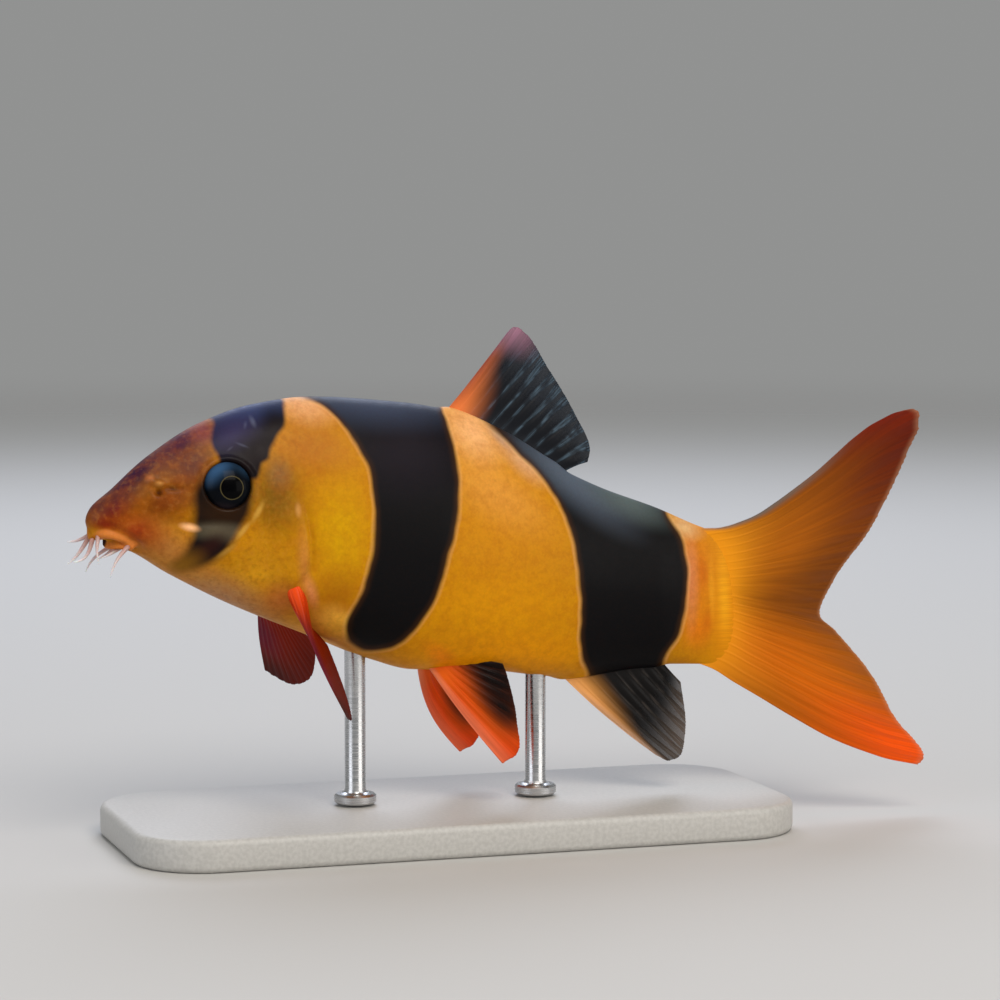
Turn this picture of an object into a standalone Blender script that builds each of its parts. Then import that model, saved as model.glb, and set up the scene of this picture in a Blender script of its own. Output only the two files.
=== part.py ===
"""A young clown loach, life size, as a still display model held over a flat base by two short rods.

Metres, +Z up. The head points to -X and the fish's left flank faces -Y. The origin is the centre of
the base's underside, on the floor. The fish is first laid out straight, in millimetres behind the
tip of its snout and above or below the level of that tip, and every point is then bent and set on
the stand by posed().
"""

import math

import bmesh
import bpy
import numpy as np
from mathutils import Matrix, Vector

MM = 0.001

# Driving sizes of the fish, in millimetres.
STANDARD_LENGTH = 84.0
GAP = 0.3
SNOUT_HEIGHT = 40.0
BEND_RADIUS = 336.0
BEND_MIDDLE = 42.0
FISH_SHIFT = -4.0

# The straight fish's outlines: distance behind the snout, then height from the snout's level.
BACK = (
    (0, 0), (0.75, 2.05), (3.1, 3.95), (8.1, 8.1), (14.4, 11.8), (21, 13.9), (28, 14.7),
    (40, 13.8), (46, 12.7), (53, 9.7), (60.5, 5.2), (66, 2.6), (73, 0.0), (79, -2.6), (84, -4.2),
)
BELLY = (
    (0, 0), (0.3, -1.9), (1.8, -2.3), (5.3, -3.3), (10.5, -6.4), (18, -10.3), (28, -14.6),
    (36, -17.9), (41, -19.3), (50, -19.7), (61, -21.0), (72, -19.9), (84, -20.2),
)
HALF_WIDTH = (
    (0, 0), (0.6, 1.35), (2.2, 2.3), (5.5, 3.4), (10, 4.5), (16, 5.7), (24, 7.1), (34, 8.0),
    (43, 7.9), (56, 6.3), (66, 4.5), (76, 2.9), (84, 1.5),
)
WIDEST_LEVEL = ((0, -0.2), (8, 0.4), (16, 0.2), (26, -2.4), (40, -5.0), (58, -8.4), (84, -12.2))
# How square the section is above and below its widest level: 2 is an ellipse.
ROUND_ABOVE = ((0, 2.2), (10, 2.0), (24, 1.85), (50, 1.8), (84, 2.0))
ROUND_BELOW = ((0, 2.3), (12, 2.1), (30, 2.3), (50, 2.3), (66, 1.9), (84, 2.0))

# Where the gill cover ends, by the angle round the section: -90 is the throat and 90 the nape.
GILL_MARGIN = ((-90, 20.5), (-50, 21.6), (-26, 24.6), (-4, 25.9), (22, 24.8), (48, 22.4), (90, 21.5))
GILL_COVER_RISE = 0.45
GILL_COVER_WIDTH = 7.0
GILL_STEP = 1.2
GILL_LOW, GILL_HIGH, GILL_FADE = -38.0, 34.0, 12.0
TAIL_CUT = 60.2

EYE_ALONG, EYE_LEVEL = 16.2, 4.62
EYE_RADIUS, EYE_HALF_DEPTH = 3.2, 1.75
EYE_SINK = 0.85
RIM_REACH, RIM_THICK = 3.35, 0.3

NOSTRIL_TUBE, NOSTRIL_PIT = (6.8, 5.5), (8.1, 4.0)
NOSTRIL_LEAN = Vector((-0.55, 0, 0.45))
NOSTRIL_TUBE_FOOT, NOSTRIL_TUBE_TOP, NOSTRIL_TUBE_HEIGHT = 0.75, 0.48, 1.3
NOSTRIL_PIT_DEPTH = 1.4

BASE_LENGTH, BASE_WIDTH, BASE_THICK = 84.0, 36.0, 4.0
BASE_CORNER = 9.0
ROD_RADIUS = 1.3
ROD_PLACES = (("stand_rod_front", 34.0), ("stand_rod_rear", 57.4))


def smooth_through(knots, warp=1.0):
    """A function that runs smoothly through (place, value) knots and never overshoots them.

    With a warp of 0.5 the value leaves the first knot like a square root, as on a blunt snout.
    """
    places = np.array([place for place, _ in knots], float)
    values = np.array([value for _, value in knots], float)
    places = np.sign(places) * np.abs(places) ** warp
    steps = np.diff(places)
    slopes = np.diff(values) / steps
    tangents = np.zeros(len(knots))
    tangents[0], tangents[-1] = slopes[0], slopes[-1]
    for i in range(1, len(knots) - 1):
        if slopes[i - 1] * slopes[i] > 0:
            before, after = 2 * steps[i] + steps[i - 1], steps[i] + 2 * steps[i - 1]
            tangents[i] = (before + after) / (before / slopes[i - 1] + after / slopes[i])

    def value_at(place):
        place = math.copysign(abs(place) ** warp, place)
        place = min(max(place, places[0]), places[-1])
        i = min(int(np.searchsorted(places, place, side="right")) - 1, len(steps) - 1)
        t = (place - places[i]) / steps[i]
        return float(
            values[i] * (1 + 2 * t) * (1 - t) ** 2
            + values[i + 1] * t * t * (3 - 2 * t)
            + steps[i] * t * (1 - t) * (tangents[i] * (1 - t) - tangents[i + 1] * t)
        )

    return value_at


def smooth_step(value, low, high):
    """0 below low, 1 above high, and a smooth rise between them."""
    t = min(max((value - low) / (high - low), 0.0), 1.0)
    return t * t * (3 - 2 * t)


back = smooth_through(BACK, warp=0.5)
belly = smooth_through(BELLY, warp=0.5)
half_width = smooth_through(HALF_WIDTH, warp=0.5)
widest_level = smooth_through(WIDEST_LEVEL)
round_above = smooth_through(ROUND_ABOVE)
round_below = smooth_through(ROUND_BELOW)
gill_margin = smooth_through(GILL_MARGIN)


def posed(along, across, height):
    """Takes a point of the straight fish, in millimetres, to its place on the stand, in metres."""
    turn = (along - BEND_MIDDLE) / BEND_RADIUS
    radius = BEND_RADIUS + across
    return Vector(
        (
            radius * math.sin(turn) + FISH_SHIFT,
            radius * math.cos(turn) - BEND_RADIUS,
            height + SNOUT_HEIGHT,
        )
    ) * MM


def rise_of_gill_cover(along, tilt):
    """How far the gill cover stands out from the flank; tilt is the angle above the widest level."""
    margin = gill_margin(tilt)
    toward_edge = smooth_step(along, margin - GILL_COVER_WIDTH, margin)
    toward_edge *= 1 - smooth_step(along, margin + GAP, margin + GILL_STEP)
    on_the_side = smooth_step(tilt, GILL_LOW - GILL_FADE, GILL_LOW + GILL_FADE)
    on_the_side *= 1 - smooth_step(tilt, GILL_HIGH - GILL_FADE, GILL_HIGH + GILL_FADE)
    return GILL_COVER_RISE * toward_edge * on_the_side


def section_point(along, angle, rise=0.0):
    """A point of the straight fish's skin. The angle starts at the right flank and runs over the back."""
    side, up = math.cos(angle), math.sin(angle)
    level = widest_level(along)
    reach = back(along) - level if up >= 0 else level - belly(along)
    power = 2.0 / (round_above(along) if up >= 0 else round_below(along))
    across = (half_width(along) + rise) * math.copysign(abs(side) ** power, side)
    height = level + reach * math.copysign(abs(up) ** power, up)
    return along, across, height


def on_skin(along, height, side):
    """The skin's point at this height; side is 1 for the right flank and -1 for the left."""
    level = widest_level(along)
    above = height >= level
    reach = back(along) - level if above else level - belly(along)
    roundness = round_above(along) if above else round_below(along)
    share = min(abs(height - level) / reach, 1.0)
    return along, side * half_width(along) * (1 - share**roundness) ** (1 / roundness), height


def skin_normal(along, height, side, step=0.05):
    """The direction out of the skin there, in the posed fish."""
    here = posed(*on_skin(along, height, side))
    behind = posed(*on_skin(along + step, height, side)) - here
    above = posed(*on_skin(along, height + step, side)) - here
    return (above.cross(behind) * side).normalized()


def add_object(name, mesh, collection):
    obj = bpy.data.objects.new(name, mesh)
    collection.objects.link(obj)
    return obj


def mesh_from(bm, name):
    mesh = bpy.data.meshes.new(name)
    bm.to_mesh(mesh)
    bm.free()
    return mesh


def loft(name, rings, front=None, rear=None):
    """A closed mesh through rings of points; front and rear are the middle points of its ends."""
    bm = bmesh.new()
    loops = [[bm.verts.new(point) for point in ring] for ring in rings]
    count = len(loops[0])
    for first, second in zip(loops, loops[1:]):
        for i in range(count):
            j = (i + 1) % count
            bm.faces.new((first[i], first[j], second[j], second[i]))
    for loop, middle, order in ((loops[0], front, -1), (loops[-1], rear, 1)):
        centre = bm.verts.new(middle or sum((v.co for v in loop), Vector()) / count)
        for i in range(count):
            bm.faces.new((loop[i], loop[(i + 1) % count], centre)[::order])
    bmesh.ops.recalc_face_normals(bm, faces=bm.faces)
    return mesh_from(bm, name)


def body_length(name, starts, ends, rings, around, crowd=1.0, rise=None, pole=None):
    """A length of the body. starts and ends give, for each angle, where along the fish it runs.

    crowd above 1 sets the rings closer at the front, and pole closes the front to a point.
    """
    angles = [2 * math.pi * (i + 0.5) / around for i in range(around)]
    loops = []
    for k in range(1 if pole else 0, rings + 1):
        share = (k / rings) ** crowd
        loop = []
        for angle in angles:
            tilt = math.degrees(math.asin(math.sin(angle)))
            start, end = starts(tilt), ends(tilt)
            along = start + (end - start) * share
            lift = rise(along, tilt) if rise else 0.0
            loop.append(posed(*section_point(along, angle, lift)))
        loops.append(loop)
    return loft(name, loops, front=pole)


def tube(name, points, radii, collection, cyclic=False, sides=2):
    """A bevelled curve through posed points, as a mesh with its caps welded on."""
    data = bpy.data.curves.new(name, "CURVE")
    data.dimensions = "3D"
    data.bevel_depth = 1.0
    data.bevel_resolution = sides
    data.use_fill_caps = not cyclic
    spline = data.splines.new("POLY")
    spline.points.add(len(points) - 1)
    for node, point, radius in zip(spline.points, points, radii):
        node.co = (*point, 1.0)
        node.radius = radius * MM
    spline.use_cyclic_u = cyclic
    guide = add_object(name + "_guide", data, collection)
    graph = bpy.context.evaluated_depsgraph_get()
    mesh = bpy.data.meshes.new_from_object(guide.evaluated_get(graph))
    bpy.data.objects.remove(guide)
    bpy.data.curves.remove(data)
    bm = bmesh.new()
    bm.from_mesh(mesh)
    bmesh.ops.remove_doubles(bm, verts=bm.verts, dist=0.02 * MM)
    bmesh.ops.recalc_face_normals(bm, faces=bm.faces)
    bm.to_mesh(mesh)
    bm.free()
    mesh.name = name
    return add_object(name, mesh, collection)


def ball(name, centre, out, radius, half_depth, collection, segments=24):
    """A ball flattened along the direction out."""
    bm = bmesh.new()
    bmesh.ops.create_uvsphere(bm, u_segments=segments, v_segments=segments // 2, radius=1.0)
    turn = out.to_track_quat("Z", "Y").to_matrix().to_4x4()
    scale = Matrix.Diagonal((radius * MM, radius * MM, half_depth * MM, 1.0))
    bm.transform(Matrix.Translation(centre) @ turn @ scale)
    return add_object(name, mesh_from(bm, name), collection)


def peg(name, centre, out, wide, narrow, height, collection, sides=14):
    """A short round peg along out, whose middle is at centre."""
    bm = bmesh.new()
    bmesh.ops.create_cone(
        bm, cap_ends=True, segments=sides, radius1=wide * MM, radius2=narrow * MM, depth=height * MM
    )
    turn = out.to_track_quat("Z", "Y").to_matrix().to_4x4()
    bm.transform(Matrix.Translation(centre) @ turn)
    return add_object(name, mesh_from(bm, name), collection)


def boolean(obj, operation, tools):
    """Joins or cuts obj with a collection of closed meshes, and applies the result."""
    step = obj.modifiers.new(operation.lower(), "BOOLEAN")
    step.operation = operation
    step.operand_type = "COLLECTION"
    step.collection = tools
    step.solver = "EXACT"
    graph = bpy.context.evaluated_depsgraph_get()
    mesh = bpy.data.meshes.new_from_object(obj.evaluated_get(graph))
    obj.modifiers.clear()
    obj.data = mesh
    keep_largest(obj)


def keep_largest(obj):
    """Drops every loose scrap but the largest closed surface."""
    bm = bmesh.new()
    bm.from_mesh(obj.data)
    left = set(bm.verts)
    islands = []
    while left:
        queue = [left.pop()]
        island = set(queue)
        while queue:
            for edge in queue.pop().link_edges:
                for vert in edge.verts:
                    if vert in left:
                        left.remove(vert)
                        island.add(vert)
                        queue.append(vert)
        islands.append(island)
    largest = max(islands, key=len)
    bmesh.ops.delete(bm, geom=[v for v in bm.verts if v not in largest], context="VERTS")
    bm.to_mesh(obj.data)
    bm.free()


def helper_collection(name):
    tools = bpy.data.collections.new(name)
    bpy.context.scene.collection.children.link(tools)
    tools.hide_render = True
    return tools


def discard(collection):
    for obj in list(collection.objects):
        bpy.data.objects.remove(obj)
    bpy.data.collections.remove(collection)


def fatten(mesh, distance):
    """Moves every vertex out along its normal."""
    bm = bmesh.new()
    bm.from_mesh(mesh)
    bm.normal_update()
    moved = [vert.co + vert.normal * distance for vert in bm.verts]
    for vert, place in zip(bm.verts, moved):
        vert.co = place
    bm.to_mesh(mesh)
    bm.free()


def material(name, colour, roughness):
    made = bpy.data.materials.new(name)
    made.use_nodes = True
    shader = made.node_tree.nodes["Principled BSDF"]
    shader.inputs["Base Color"].default_value = (*colour, 1.0)
    shader.inputs["Roughness"].default_value = roughness
    shader.inputs["Metallic"].default_value = 0.0
    return made


def finish(obj, finish_material, origin, parent, smooth_angle=40.0):
    """Puts the object's origin at a point of the posed fish and gives the piece its finish."""
    obj.data.transform(Matrix.Translation(-origin))
    obj.location = origin
    obj.parent = parent
    obj.data.materials.clear()
    obj.data.materials.append(finish_material)
    obj.data.shade_smooth()
    obj.data.set_sharp_from_angle(angle=math.radians(smooth_angle))


# The head: a loft to the edge of the gill covers, then lips, eye rims and nostrils joined on.
UPPER_LIP = (
    (0, (4.9, 2.05, -2.6)), (0.35, (3.6, 2.1, -1.8)), (0.7, (1.9, 1.6, -1.55)), (1, (0.95, 0, -1.9)),
)
LOWER_LIP = ((0, (5.0, 1.95, -2.8)), (0.5, (4.4, 1.4, -2.9)), (1, (3.95, 0, -2.85)))
UPPER_LIP_RADIUS, LOWER_LIP_RADIUS = 0.6, 0.45
MOUTH_MIDDLE = (2.75, 0, -2.5)
MOUTH_RADIUS, MOUTH_HALF_DEPTH = 1.55, 1.05


def lip_points(half, steps=17):
    """Points round a U from one corner of the mouth, past the front, to the other."""
    along, across, height = (smooth_through([(at, p[i]) for at, p in half]) for i in range(3))
    points = []
    for k in range(steps):
        place = 2 * k / (steps - 1) - 1
        share = 1 - abs(place)
        points.append(posed(along(share), math.copysign(across(share), place), height(share)))
    return points


def lip_radii(radius, steps=17):
    return [radius * (0.55 + 0.45 * math.sin(math.pi * k / (steps - 1))) for k in range(steps)]


def lips(collection, extra=0.0):
    for name, half, radius in (
        ("upper_lip", UPPER_LIP, UPPER_LIP_RADIUS),
        ("lower_lip", LOWER_LIP, LOWER_LIP_RADIUS),
    ):
        radii = [size + extra for size in lip_radii(radius)]
        tube(name, lip_points(half), radii, collection)


def mouth_hollow(collection):
    """The open mouth under the snout, round which the lips then go."""
    up = Vector((0.25, 0, 1)).normalized()
    ball("mouth", posed(*MOUTH_MIDDLE), up, MOUTH_RADIUS, MOUTH_HALF_DEPTH, collection, segments=18)


def eye_axis(side):
    return skin_normal(EYE_ALONG, EYE_LEVEL, side)


def eye_centre(side):
    return posed(*on_skin(EYE_ALONG, EYE_LEVEL, side)) - eye_axis(side) * EYE_SINK * MM


def eye_rims(collection, steps=28):
    for side, name in ((1, "rim_right"), (-1, "rim_left")):
        points = []
        for k in range(steps):
            turn = 2 * math.pi * k / steps
            along = EYE_ALONG + RIM_REACH * math.cos(turn)
            height = EYE_LEVEL + RIM_REACH * math.sin(turn)
            points.append(posed(*on_skin(along, height, side)))
        tube(name, points, [RIM_THICK] * steps, collection, cyclic=True)


def eye_sockets(collection):
    for side, name in ((1, "socket_right"), (-1, "socket_left")):
        ball(
            name, eye_centre(side), eye_axis(side), EYE_RADIUS + GAP, EYE_HALF_DEPTH + GAP, collection
        )


def nostril_axis(place, side):
    """The front nostril's flap leans forward and up, and the rear nostril opens straight out."""
    lean = NOSTRIL_LEAN if place == NOSTRIL_TUBE else Vector()
    return (skin_normal(*place, side) + lean).normalized()


def nostril_tubes(collection):
    for side, name in ((1, "nostril_tube_right"), (-1, "nostril_tube_left")):
        out = nostril_axis(NOSTRIL_TUBE, side)
        middle = posed(*on_skin(*NOSTRIL_TUBE, side)) + out * 0.1 * MM
        peg(name, middle, out, NOSTRIL_TUBE_FOOT, NOSTRIL_TUBE_TOP, NOSTRIL_TUBE_HEIGHT, collection)


def nostril_pits(collection):
    for side in (1, -1):
        for place, radius, lift in ((NOSTRIL_TUBE, 0.26, 0.8), (NOSTRIL_PIT, 0.4, 0.2)):
            out = nostril_axis(place, side)
            middle = posed(*on_skin(*place, side)) + out * lift * MM
            name = f"nostril_pit_{side}_{radius}"
            peg(name, middle, out, radius * 0.8, radius, NOSTRIL_PIT_DEPTH, collection, sides=10)


def make_head(collection):
    mesh = body_length(
        "head",
        lambda tilt: 0.0,
        gill_margin,
        rings=30,
        around=48,
        crowd=1.55,
        rise=rise_of_gill_cover,
        pole=posed(0, 0, 0),
    )
    head = add_object("head", mesh, collection)
    for operation, makers in (
        ("DIFFERENCE", (mouth_hollow,)),
        ("UNION", (lips, eye_rims, nostril_tubes)),
        ("DIFFERENCE", (eye_sockets, nostril_pits)),
    ):
        tools = helper_collection("head_tools")
        for make in makers:
            make(tools)
        boolean(head, operation, tools)
        discard(tools)
    return head


def make_trunk(collection):
    mesh = body_length(
        "trunk", lambda tilt: gill_margin(tilt) + GAP, lambda tilt: TAIL_CUT, rings=18, around=44
    )
    return add_object("trunk", mesh, collection)


def make_tail(collection):
    mesh = body_length(
        "tail", lambda tilt: TAIL_CUT + GAP, lambda tilt: STANDARD_LENGTH, rings=12, around=36
    )
    return add_object("tail", mesh, collection)


def skin_cutters():
    """The whole body and the lips, larger by the gap, to trim what grows from them."""
    tools = helper_collection("skin_cutters")
    mesh = body_length(
        "skin",
        lambda tilt: 0.0,
        lambda tilt: STANDARD_LENGTH,
        rings=72,
        around=48,
        crowd=1.4,
        rise=rise_of_gill_cover,
        pole=posed(0, 0, 0),
    )
    fatten(mesh, GAP * MM)
    add_object("skin", mesh, tools)
    lips(tools, extra=GAP)
    for cutter in tools.objects:
        cutter.display_type = "WIRE"
        cutter.hide_render = True
    return tools


# Fins: a sheet of rays, each a ridge raised in the membrane, cut off where it leaves the skin.
RAY_THICK, MEMBRANE_THICK = 0.95, 0.55
TIP_SHARE = 0.55
WEB_NOTCH = 0.025


def fin(name, rays, collection, rows=9, first=0.0, last=1.0, count=8, thick=RAY_THICK):
    """A fin whose rays(u) gives each ray's curve, u from the leading edge (0) to the last ray (1)."""
    columns = 2 * count - 1
    bm = bmesh.new()
    bmesh.ops.create_grid(bm, x_segments=columns - 1, y_segments=rows - 1, size=1.0)
    bm.verts.ensure_lookup_table()
    layer = bm.verts.layers.deform.new()
    for vert in bm.verts:
        column = round((vert.co.x + 1) / 2 * (columns - 1))
        share = (vert.co.y + 1) / 2
        on_ray = column % 2 == 0
        curve = rays(first + (last - first) * column / (columns - 1))
        vert.co = posed(*curve(share * (1.0 if on_ray else 1.0 - WEB_NOTCH)))
        weight = 1.0 if on_ray else MEMBRANE_THICK / RAY_THICK
        vert[layer][0] = weight * (1 - (1 - TIP_SHARE) * share**1.5)
    bmesh.ops.triangulate(bm, faces=bm.faces)
    obj = add_object(name, mesh_from(bm, name), collection)
    obj.vertex_groups.new(name="thickness")
    shell = obj.modifiers.new("membrane", "SOLIDIFY")
    shell.thickness = thick * MM
    shell.offset = 0.0
    shell.vertex_group = "thickness"
    return obj


def ray_between(root, tip, bow=(0, 0, 0), sway=(0, 0, 0)):
    """A ray's curve: straight from root to tip, plus one bow and one S-shaped sway."""
    root, tip, bow, sway = Vector(root), Vector(tip), Vector(bow), Vector(sway)

    def at(share):
        return (
            root.lerp(tip, share)
            + bow * math.sin(math.pi * share)
            + sway * math.sin(2 * math.pi * share)
        )

    return at


DORSAL_START, DORSAL_END = 45.0, 60.0
DORSAL_SINK = 1.3
DORSAL_TIP_ALONG = ((0, 54.4), (0.1, 55.7), (0.4, 59.2), (0.75, 62.9), (1, 65.0))
DORSAL_TIP_HEIGHT = ((0, 22.7), (0.1, 22.8), (0.4, 17.8), (0.75, 11.6), (1, 5.9))


def dorsal_rays():
    tip_along, tip_height = smooth_through(DORSAL_TIP_ALONG), smooth_through(DORSAL_TIP_HEIGHT)

    def rays(u):
        along = DORSAL_START + (DORSAL_END - DORSAL_START) * u
        root = (along, 0, back(along) - DORSAL_SINK)
        return ray_between(root, (tip_along(u), 0.9, tip_height(u)), bow=(0.3 * u, -0.5, 0.4 * u))

    return rays


ANAL_START, ANAL_END = 59.6, 73.2
ANAL_SINK = 1.2
ANAL_TIP_ALONG = ((0, 73.0), (0.12, 74.6), (0.35, 76.3), (0.7, 76.9), (1, 76.2))
ANAL_TIP_HEIGHT = ((0, -31.4), (0.12, -32.2), (0.35, -31.5), (0.7, -27.4), (1, -22.2))


def anal_rays():
    tip_along, tip_height = smooth_through(ANAL_TIP_ALONG), smooth_through(ANAL_TIP_HEIGHT)

    def rays(u):
        along = ANAL_START + (ANAL_END - ANAL_START) * u
        root = (along, 0, belly(along) + ANAL_SINK)
        return ray_between(root, (tip_along(u), -0.8, tip_height(u)), bow=(0, 0.4, -0.5 * (1 - u)))

    return rays


CAUDAL_ROOT_ALONG = 82.4
CAUDAL_ROOT_TOP, CAUDAL_ROOT_BOTTOM = -3.6, -20.3
EDGE_ROOT_FORWARD = 3.0
CAUDAL_TIP_ALONG = (
    (0, 106.3), (0.05, 107.2), (0.12, 106.1), (0.2, 104.1), (0.3, 100.9), (0.42, 96.7), (0.5, 94.6),
    (0.58, 96.9), (0.7, 101.6), (0.84, 105.2), (0.92, 107.8), (0.95, 108.8), (1, 108.1),
)
CAUDAL_TIP_HEIGHT = (
    (0, 12.4), (0.05, 11.2), (0.12, 7.4), (0.2, 2.8), (0.3, -3.4), (0.42, -9.2), (0.5, -13.8),
    (0.58, -16.4), (0.7, -22.0), (0.84, -28.2), (0.92, -31.2), (0.95, -32.5), (1, -33.8),
)
UPPER_EDGE_SWAY, UPPER_EDGE_BOW, LOWER_EDGE_BOW = -1.4, -0.5, -1.8
FORK = 0.5


def caudal_rays():
    """The outermost rays start further forward, along the upper and lower edges of the tail."""
    tip_along, tip_height = smooth_through(CAUDAL_TIP_ALONG), smooth_through(CAUDAL_TIP_HEIGHT)

    def rays(u):
        height = CAUDAL_ROOT_TOP + (CAUDAL_ROOT_BOTTOM - CAUDAL_ROOT_TOP) * u
        lobe = 2 * u - 1
        bow = LOWER_EDGE_BOW * max(lobe, 0) ** 2 + UPPER_EDGE_BOW * max(-lobe, 0) ** 2
        sway = UPPER_EDGE_SWAY * max(-lobe, 0) ** 2
        root = (CAUDAL_ROOT_ALONG - EDGE_ROOT_FORWARD * lobe**4, 0, height)
        tip = (tip_along(u), 1.0 * lobe, tip_height(u))
        return ray_between(root, tip, bow=(0, -0.6, bow), sway=(0, 0, sway))

    return rays


PECTORAL_ROOT = (24.6, 6.6, -8.1)
PECTORAL_ROOT_WIDTH = 2.6
PECTORAL_SPREAD = 50.0
PECTORAL_LENGTH = ((0, 17.4), (0.2, 17.2), (0.5, 15.0), (0.8, 11.2), (1, 8.6))
PECTORAL_LEFT_RAY = (0.22, 0.47, -0.85)
PECTORAL_RIGHT_RAY = (0.20, 0.60, -0.77)
PECTORAL_CHORD = (0.48, -0.79, -0.38)


def fan_rays(root, width, leading, chord, spread, lengths, side, camber, sink, curl=0.0):
    """A paired fin's rays: a fan that opens from the leading ray towards its chord direction.

    camber bows the rays out of the fin's plane, and curl bows them forward within it.
    """
    leading = Vector(leading).normalized()
    chord = Vector(chord)
    chord = (chord - leading * chord.dot(leading)).normalized()
    face = leading.cross(chord)
    length = smooth_through(lengths)

    def rays(u):
        angle = math.radians(spread) * u
        out = leading * math.cos(angle) + chord * math.sin(angle)
        start = Vector(root) + chord * width * (u - 0.3) - out * sink
        end = start + out * (length(u) + sink)
        curve = ray_between(start, end, bow=face * camber - chord * curl)

        def at(share):
            point = curve(share)
            return point.x, point.y * side, point.z

        return at

    return rays


PELVIC_ROOT = (44.1, 3.3, -18.9)
PELVIC_ROOT_WIDTH = 4.2
PELVIC_SPREAD = 38.0
PELVIC_LENGTH = ((0, 14.2), (0.15, 14.5), (0.4, 11.6), (0.7, 8.3), (1, 5.7))
PELVIC_LEFT_RAY = (0.59, 0.17, -0.79)
PELVIC_RIGHT_RAY = (0.47, 0.30, -0.83)
PELVIC_CHORD = (0.80, 0.05, 0.55)
PELVIC_LEFT_CURL, PELVIC_RIGHT_CURL = 0.2, 1.3


def make_fins(collection, tools, finishes, parent):
    """Every fin is a sheet of rays, trimmed where it leaves the skin."""

    def add(name, rays, origin, finish_name, **shape):
        obj = fin(name, rays, collection, **shape)
        boolean(obj, "DIFFERENCE", tools)
        finish(obj, finishes[finish_name], posed(*origin), parent)

    root = (DORSAL_START, 0, back(DORSAL_START))
    add("dorsal_fin", dorsal_rays(), root, "dark", rows=9, count=11)
    root = (ANAL_START, 0, belly(ANAL_START))
    add("anal_fin", anal_rays(), root, "dark", rows=8, count=8)
    split = GAP / 2 / (CAUDAL_ROOT_TOP - CAUDAL_ROOT_BOTTOM)
    root = (STANDARD_LENGTH, 0, (CAUDAL_ROOT_TOP + CAUDAL_ROOT_BOTTOM) / 2)
    add("tail_fin_upper", caudal_rays(), root, "amber", rows=11, count=10, last=FORK - split)
    add("tail_fin_lower", caudal_rays(), root, "amber", rows=11, count=9, first=FORK + split)
    for side, word, leading in ((-1, "left", PECTORAL_LEFT_RAY), (1, "right", PECTORAL_RIGHT_RAY)):
        rays = fan_rays(
            PECTORAL_ROOT, PECTORAL_ROOT_WIDTH, leading, PECTORAL_CHORD, PECTORAL_SPREAD,
            PECTORAL_LENGTH, side, camber=0.7, sink=2.2,
        )
        along, across, height = PECTORAL_ROOT
        origin = (along, across * side, height)
        add(f"pectoral_fin_{word}", rays, origin, "red", rows=8, count=11)
    for side, word, leading, curl in (
        (-1, "left", PELVIC_LEFT_RAY, PELVIC_LEFT_CURL),
        (1, "right", PELVIC_RIGHT_RAY, PELVIC_RIGHT_CURL),
    ):
        rays = fan_rays(
            PELVIC_ROOT, PELVIC_ROOT_WIDTH, leading, PELVIC_CHORD, PELVIC_SPREAD,
            PELVIC_LENGTH, side, camber=0.4, sink=1.6, curl=curl,
        )
        along, across, height = PELVIC_ROOT
        origin = (along, across * side, height)
        add(f"pelvic_fin_{word}", rays, origin, "red", rows=7, count=8)


# Barbels: four pairs of soft tapering feelers round the mouth. Each is held its own way: a root, a
# tip and how far its middle bows from the straight line between them.
BARBEL_ROOT_RADIUS, BARBEL_TIP_RADIUS = 0.42, 0.2
BARBELS = (
    ("barbel_snout_inner_left", (0.6, -0.8, -1.5), (-1.9, -1.0, -4.3), (0.35, -0.05, -0.75)),
    ("barbel_snout_inner_right", (0.7, 0.8, -1.5), (-2.0, 1.2, -4.7), (-0.05, 0.15, -0.6)),
    ("barbel_snout_outer_left", (1.2, -1.2, -1.2), (0.9, -2.1, -4.6), (-0.35, -0.45, 0.1)),
    ("barbel_snout_outer_right", (1.2, 1.3, -1.2), (-1.4, 2.8, -2.2), (-0.1, 0.1, -0.3)),
    ("barbel_mouth_corner_left", (4.7, -2.1, -2.5), (2.0, -3.0, -6.2), (-0.5, -0.4, 0.2)),
    ("barbel_mouth_corner_right", (4.7, 2.1, -2.5), (0.9, 3.0, -6.0), (-0.6, 0.4, 0.1)),
    ("barbel_chin_left", (4.3, -0.9, -2.6), (1.6, -1.2, -3.9), (-0.1, -0.1, -0.15)),
    ("barbel_chin_right", (4.3, 0.9, -2.6), (1.9, 1.3, -4.3), (-0.1, 0.1, -0.3)),
)
BARBEL_STEPS = 9


def make_barbels(collection, tools, finish_material, parent):
    for name, root, tip, bow in BARBELS:
        curve = ray_between(root, tip, bow=bow)
        shares = [k / (BARBEL_STEPS - 1) for k in range(BARBEL_STEPS)]
        points = [posed(*curve(share)) for share in shares]
        taper = BARBEL_TIP_RADIUS - BARBEL_ROOT_RADIUS
        radii = [BARBEL_ROOT_RADIUS + taper * share for share in shares]
        obj = tube(name, points, radii, collection)
        boolean(obj, "DIFFERENCE", tools)
        finish(obj, finish_material, points[0], parent)


def make_eyes(collection, finish_material, parent):
    for side, word in ((-1, "left"), (1, "right")):
        centre = eye_centre(side)
        eye = ball(
            f"eye_{word}", centre, eye_axis(side), EYE_RADIUS, EYE_HALF_DEPTH, collection, segments=20
        )
        finish(eye, finish_material, centre, parent)


# The stand: a flat base with rounded corners, and two turned rods up to the belly.
ROD_FOOT_RADIUS, ROD_FOOT_HEIGHT, ROD_COLLAR = 2.6, 1.2, 0.6
ROD_EXTRA = 1.5


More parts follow.
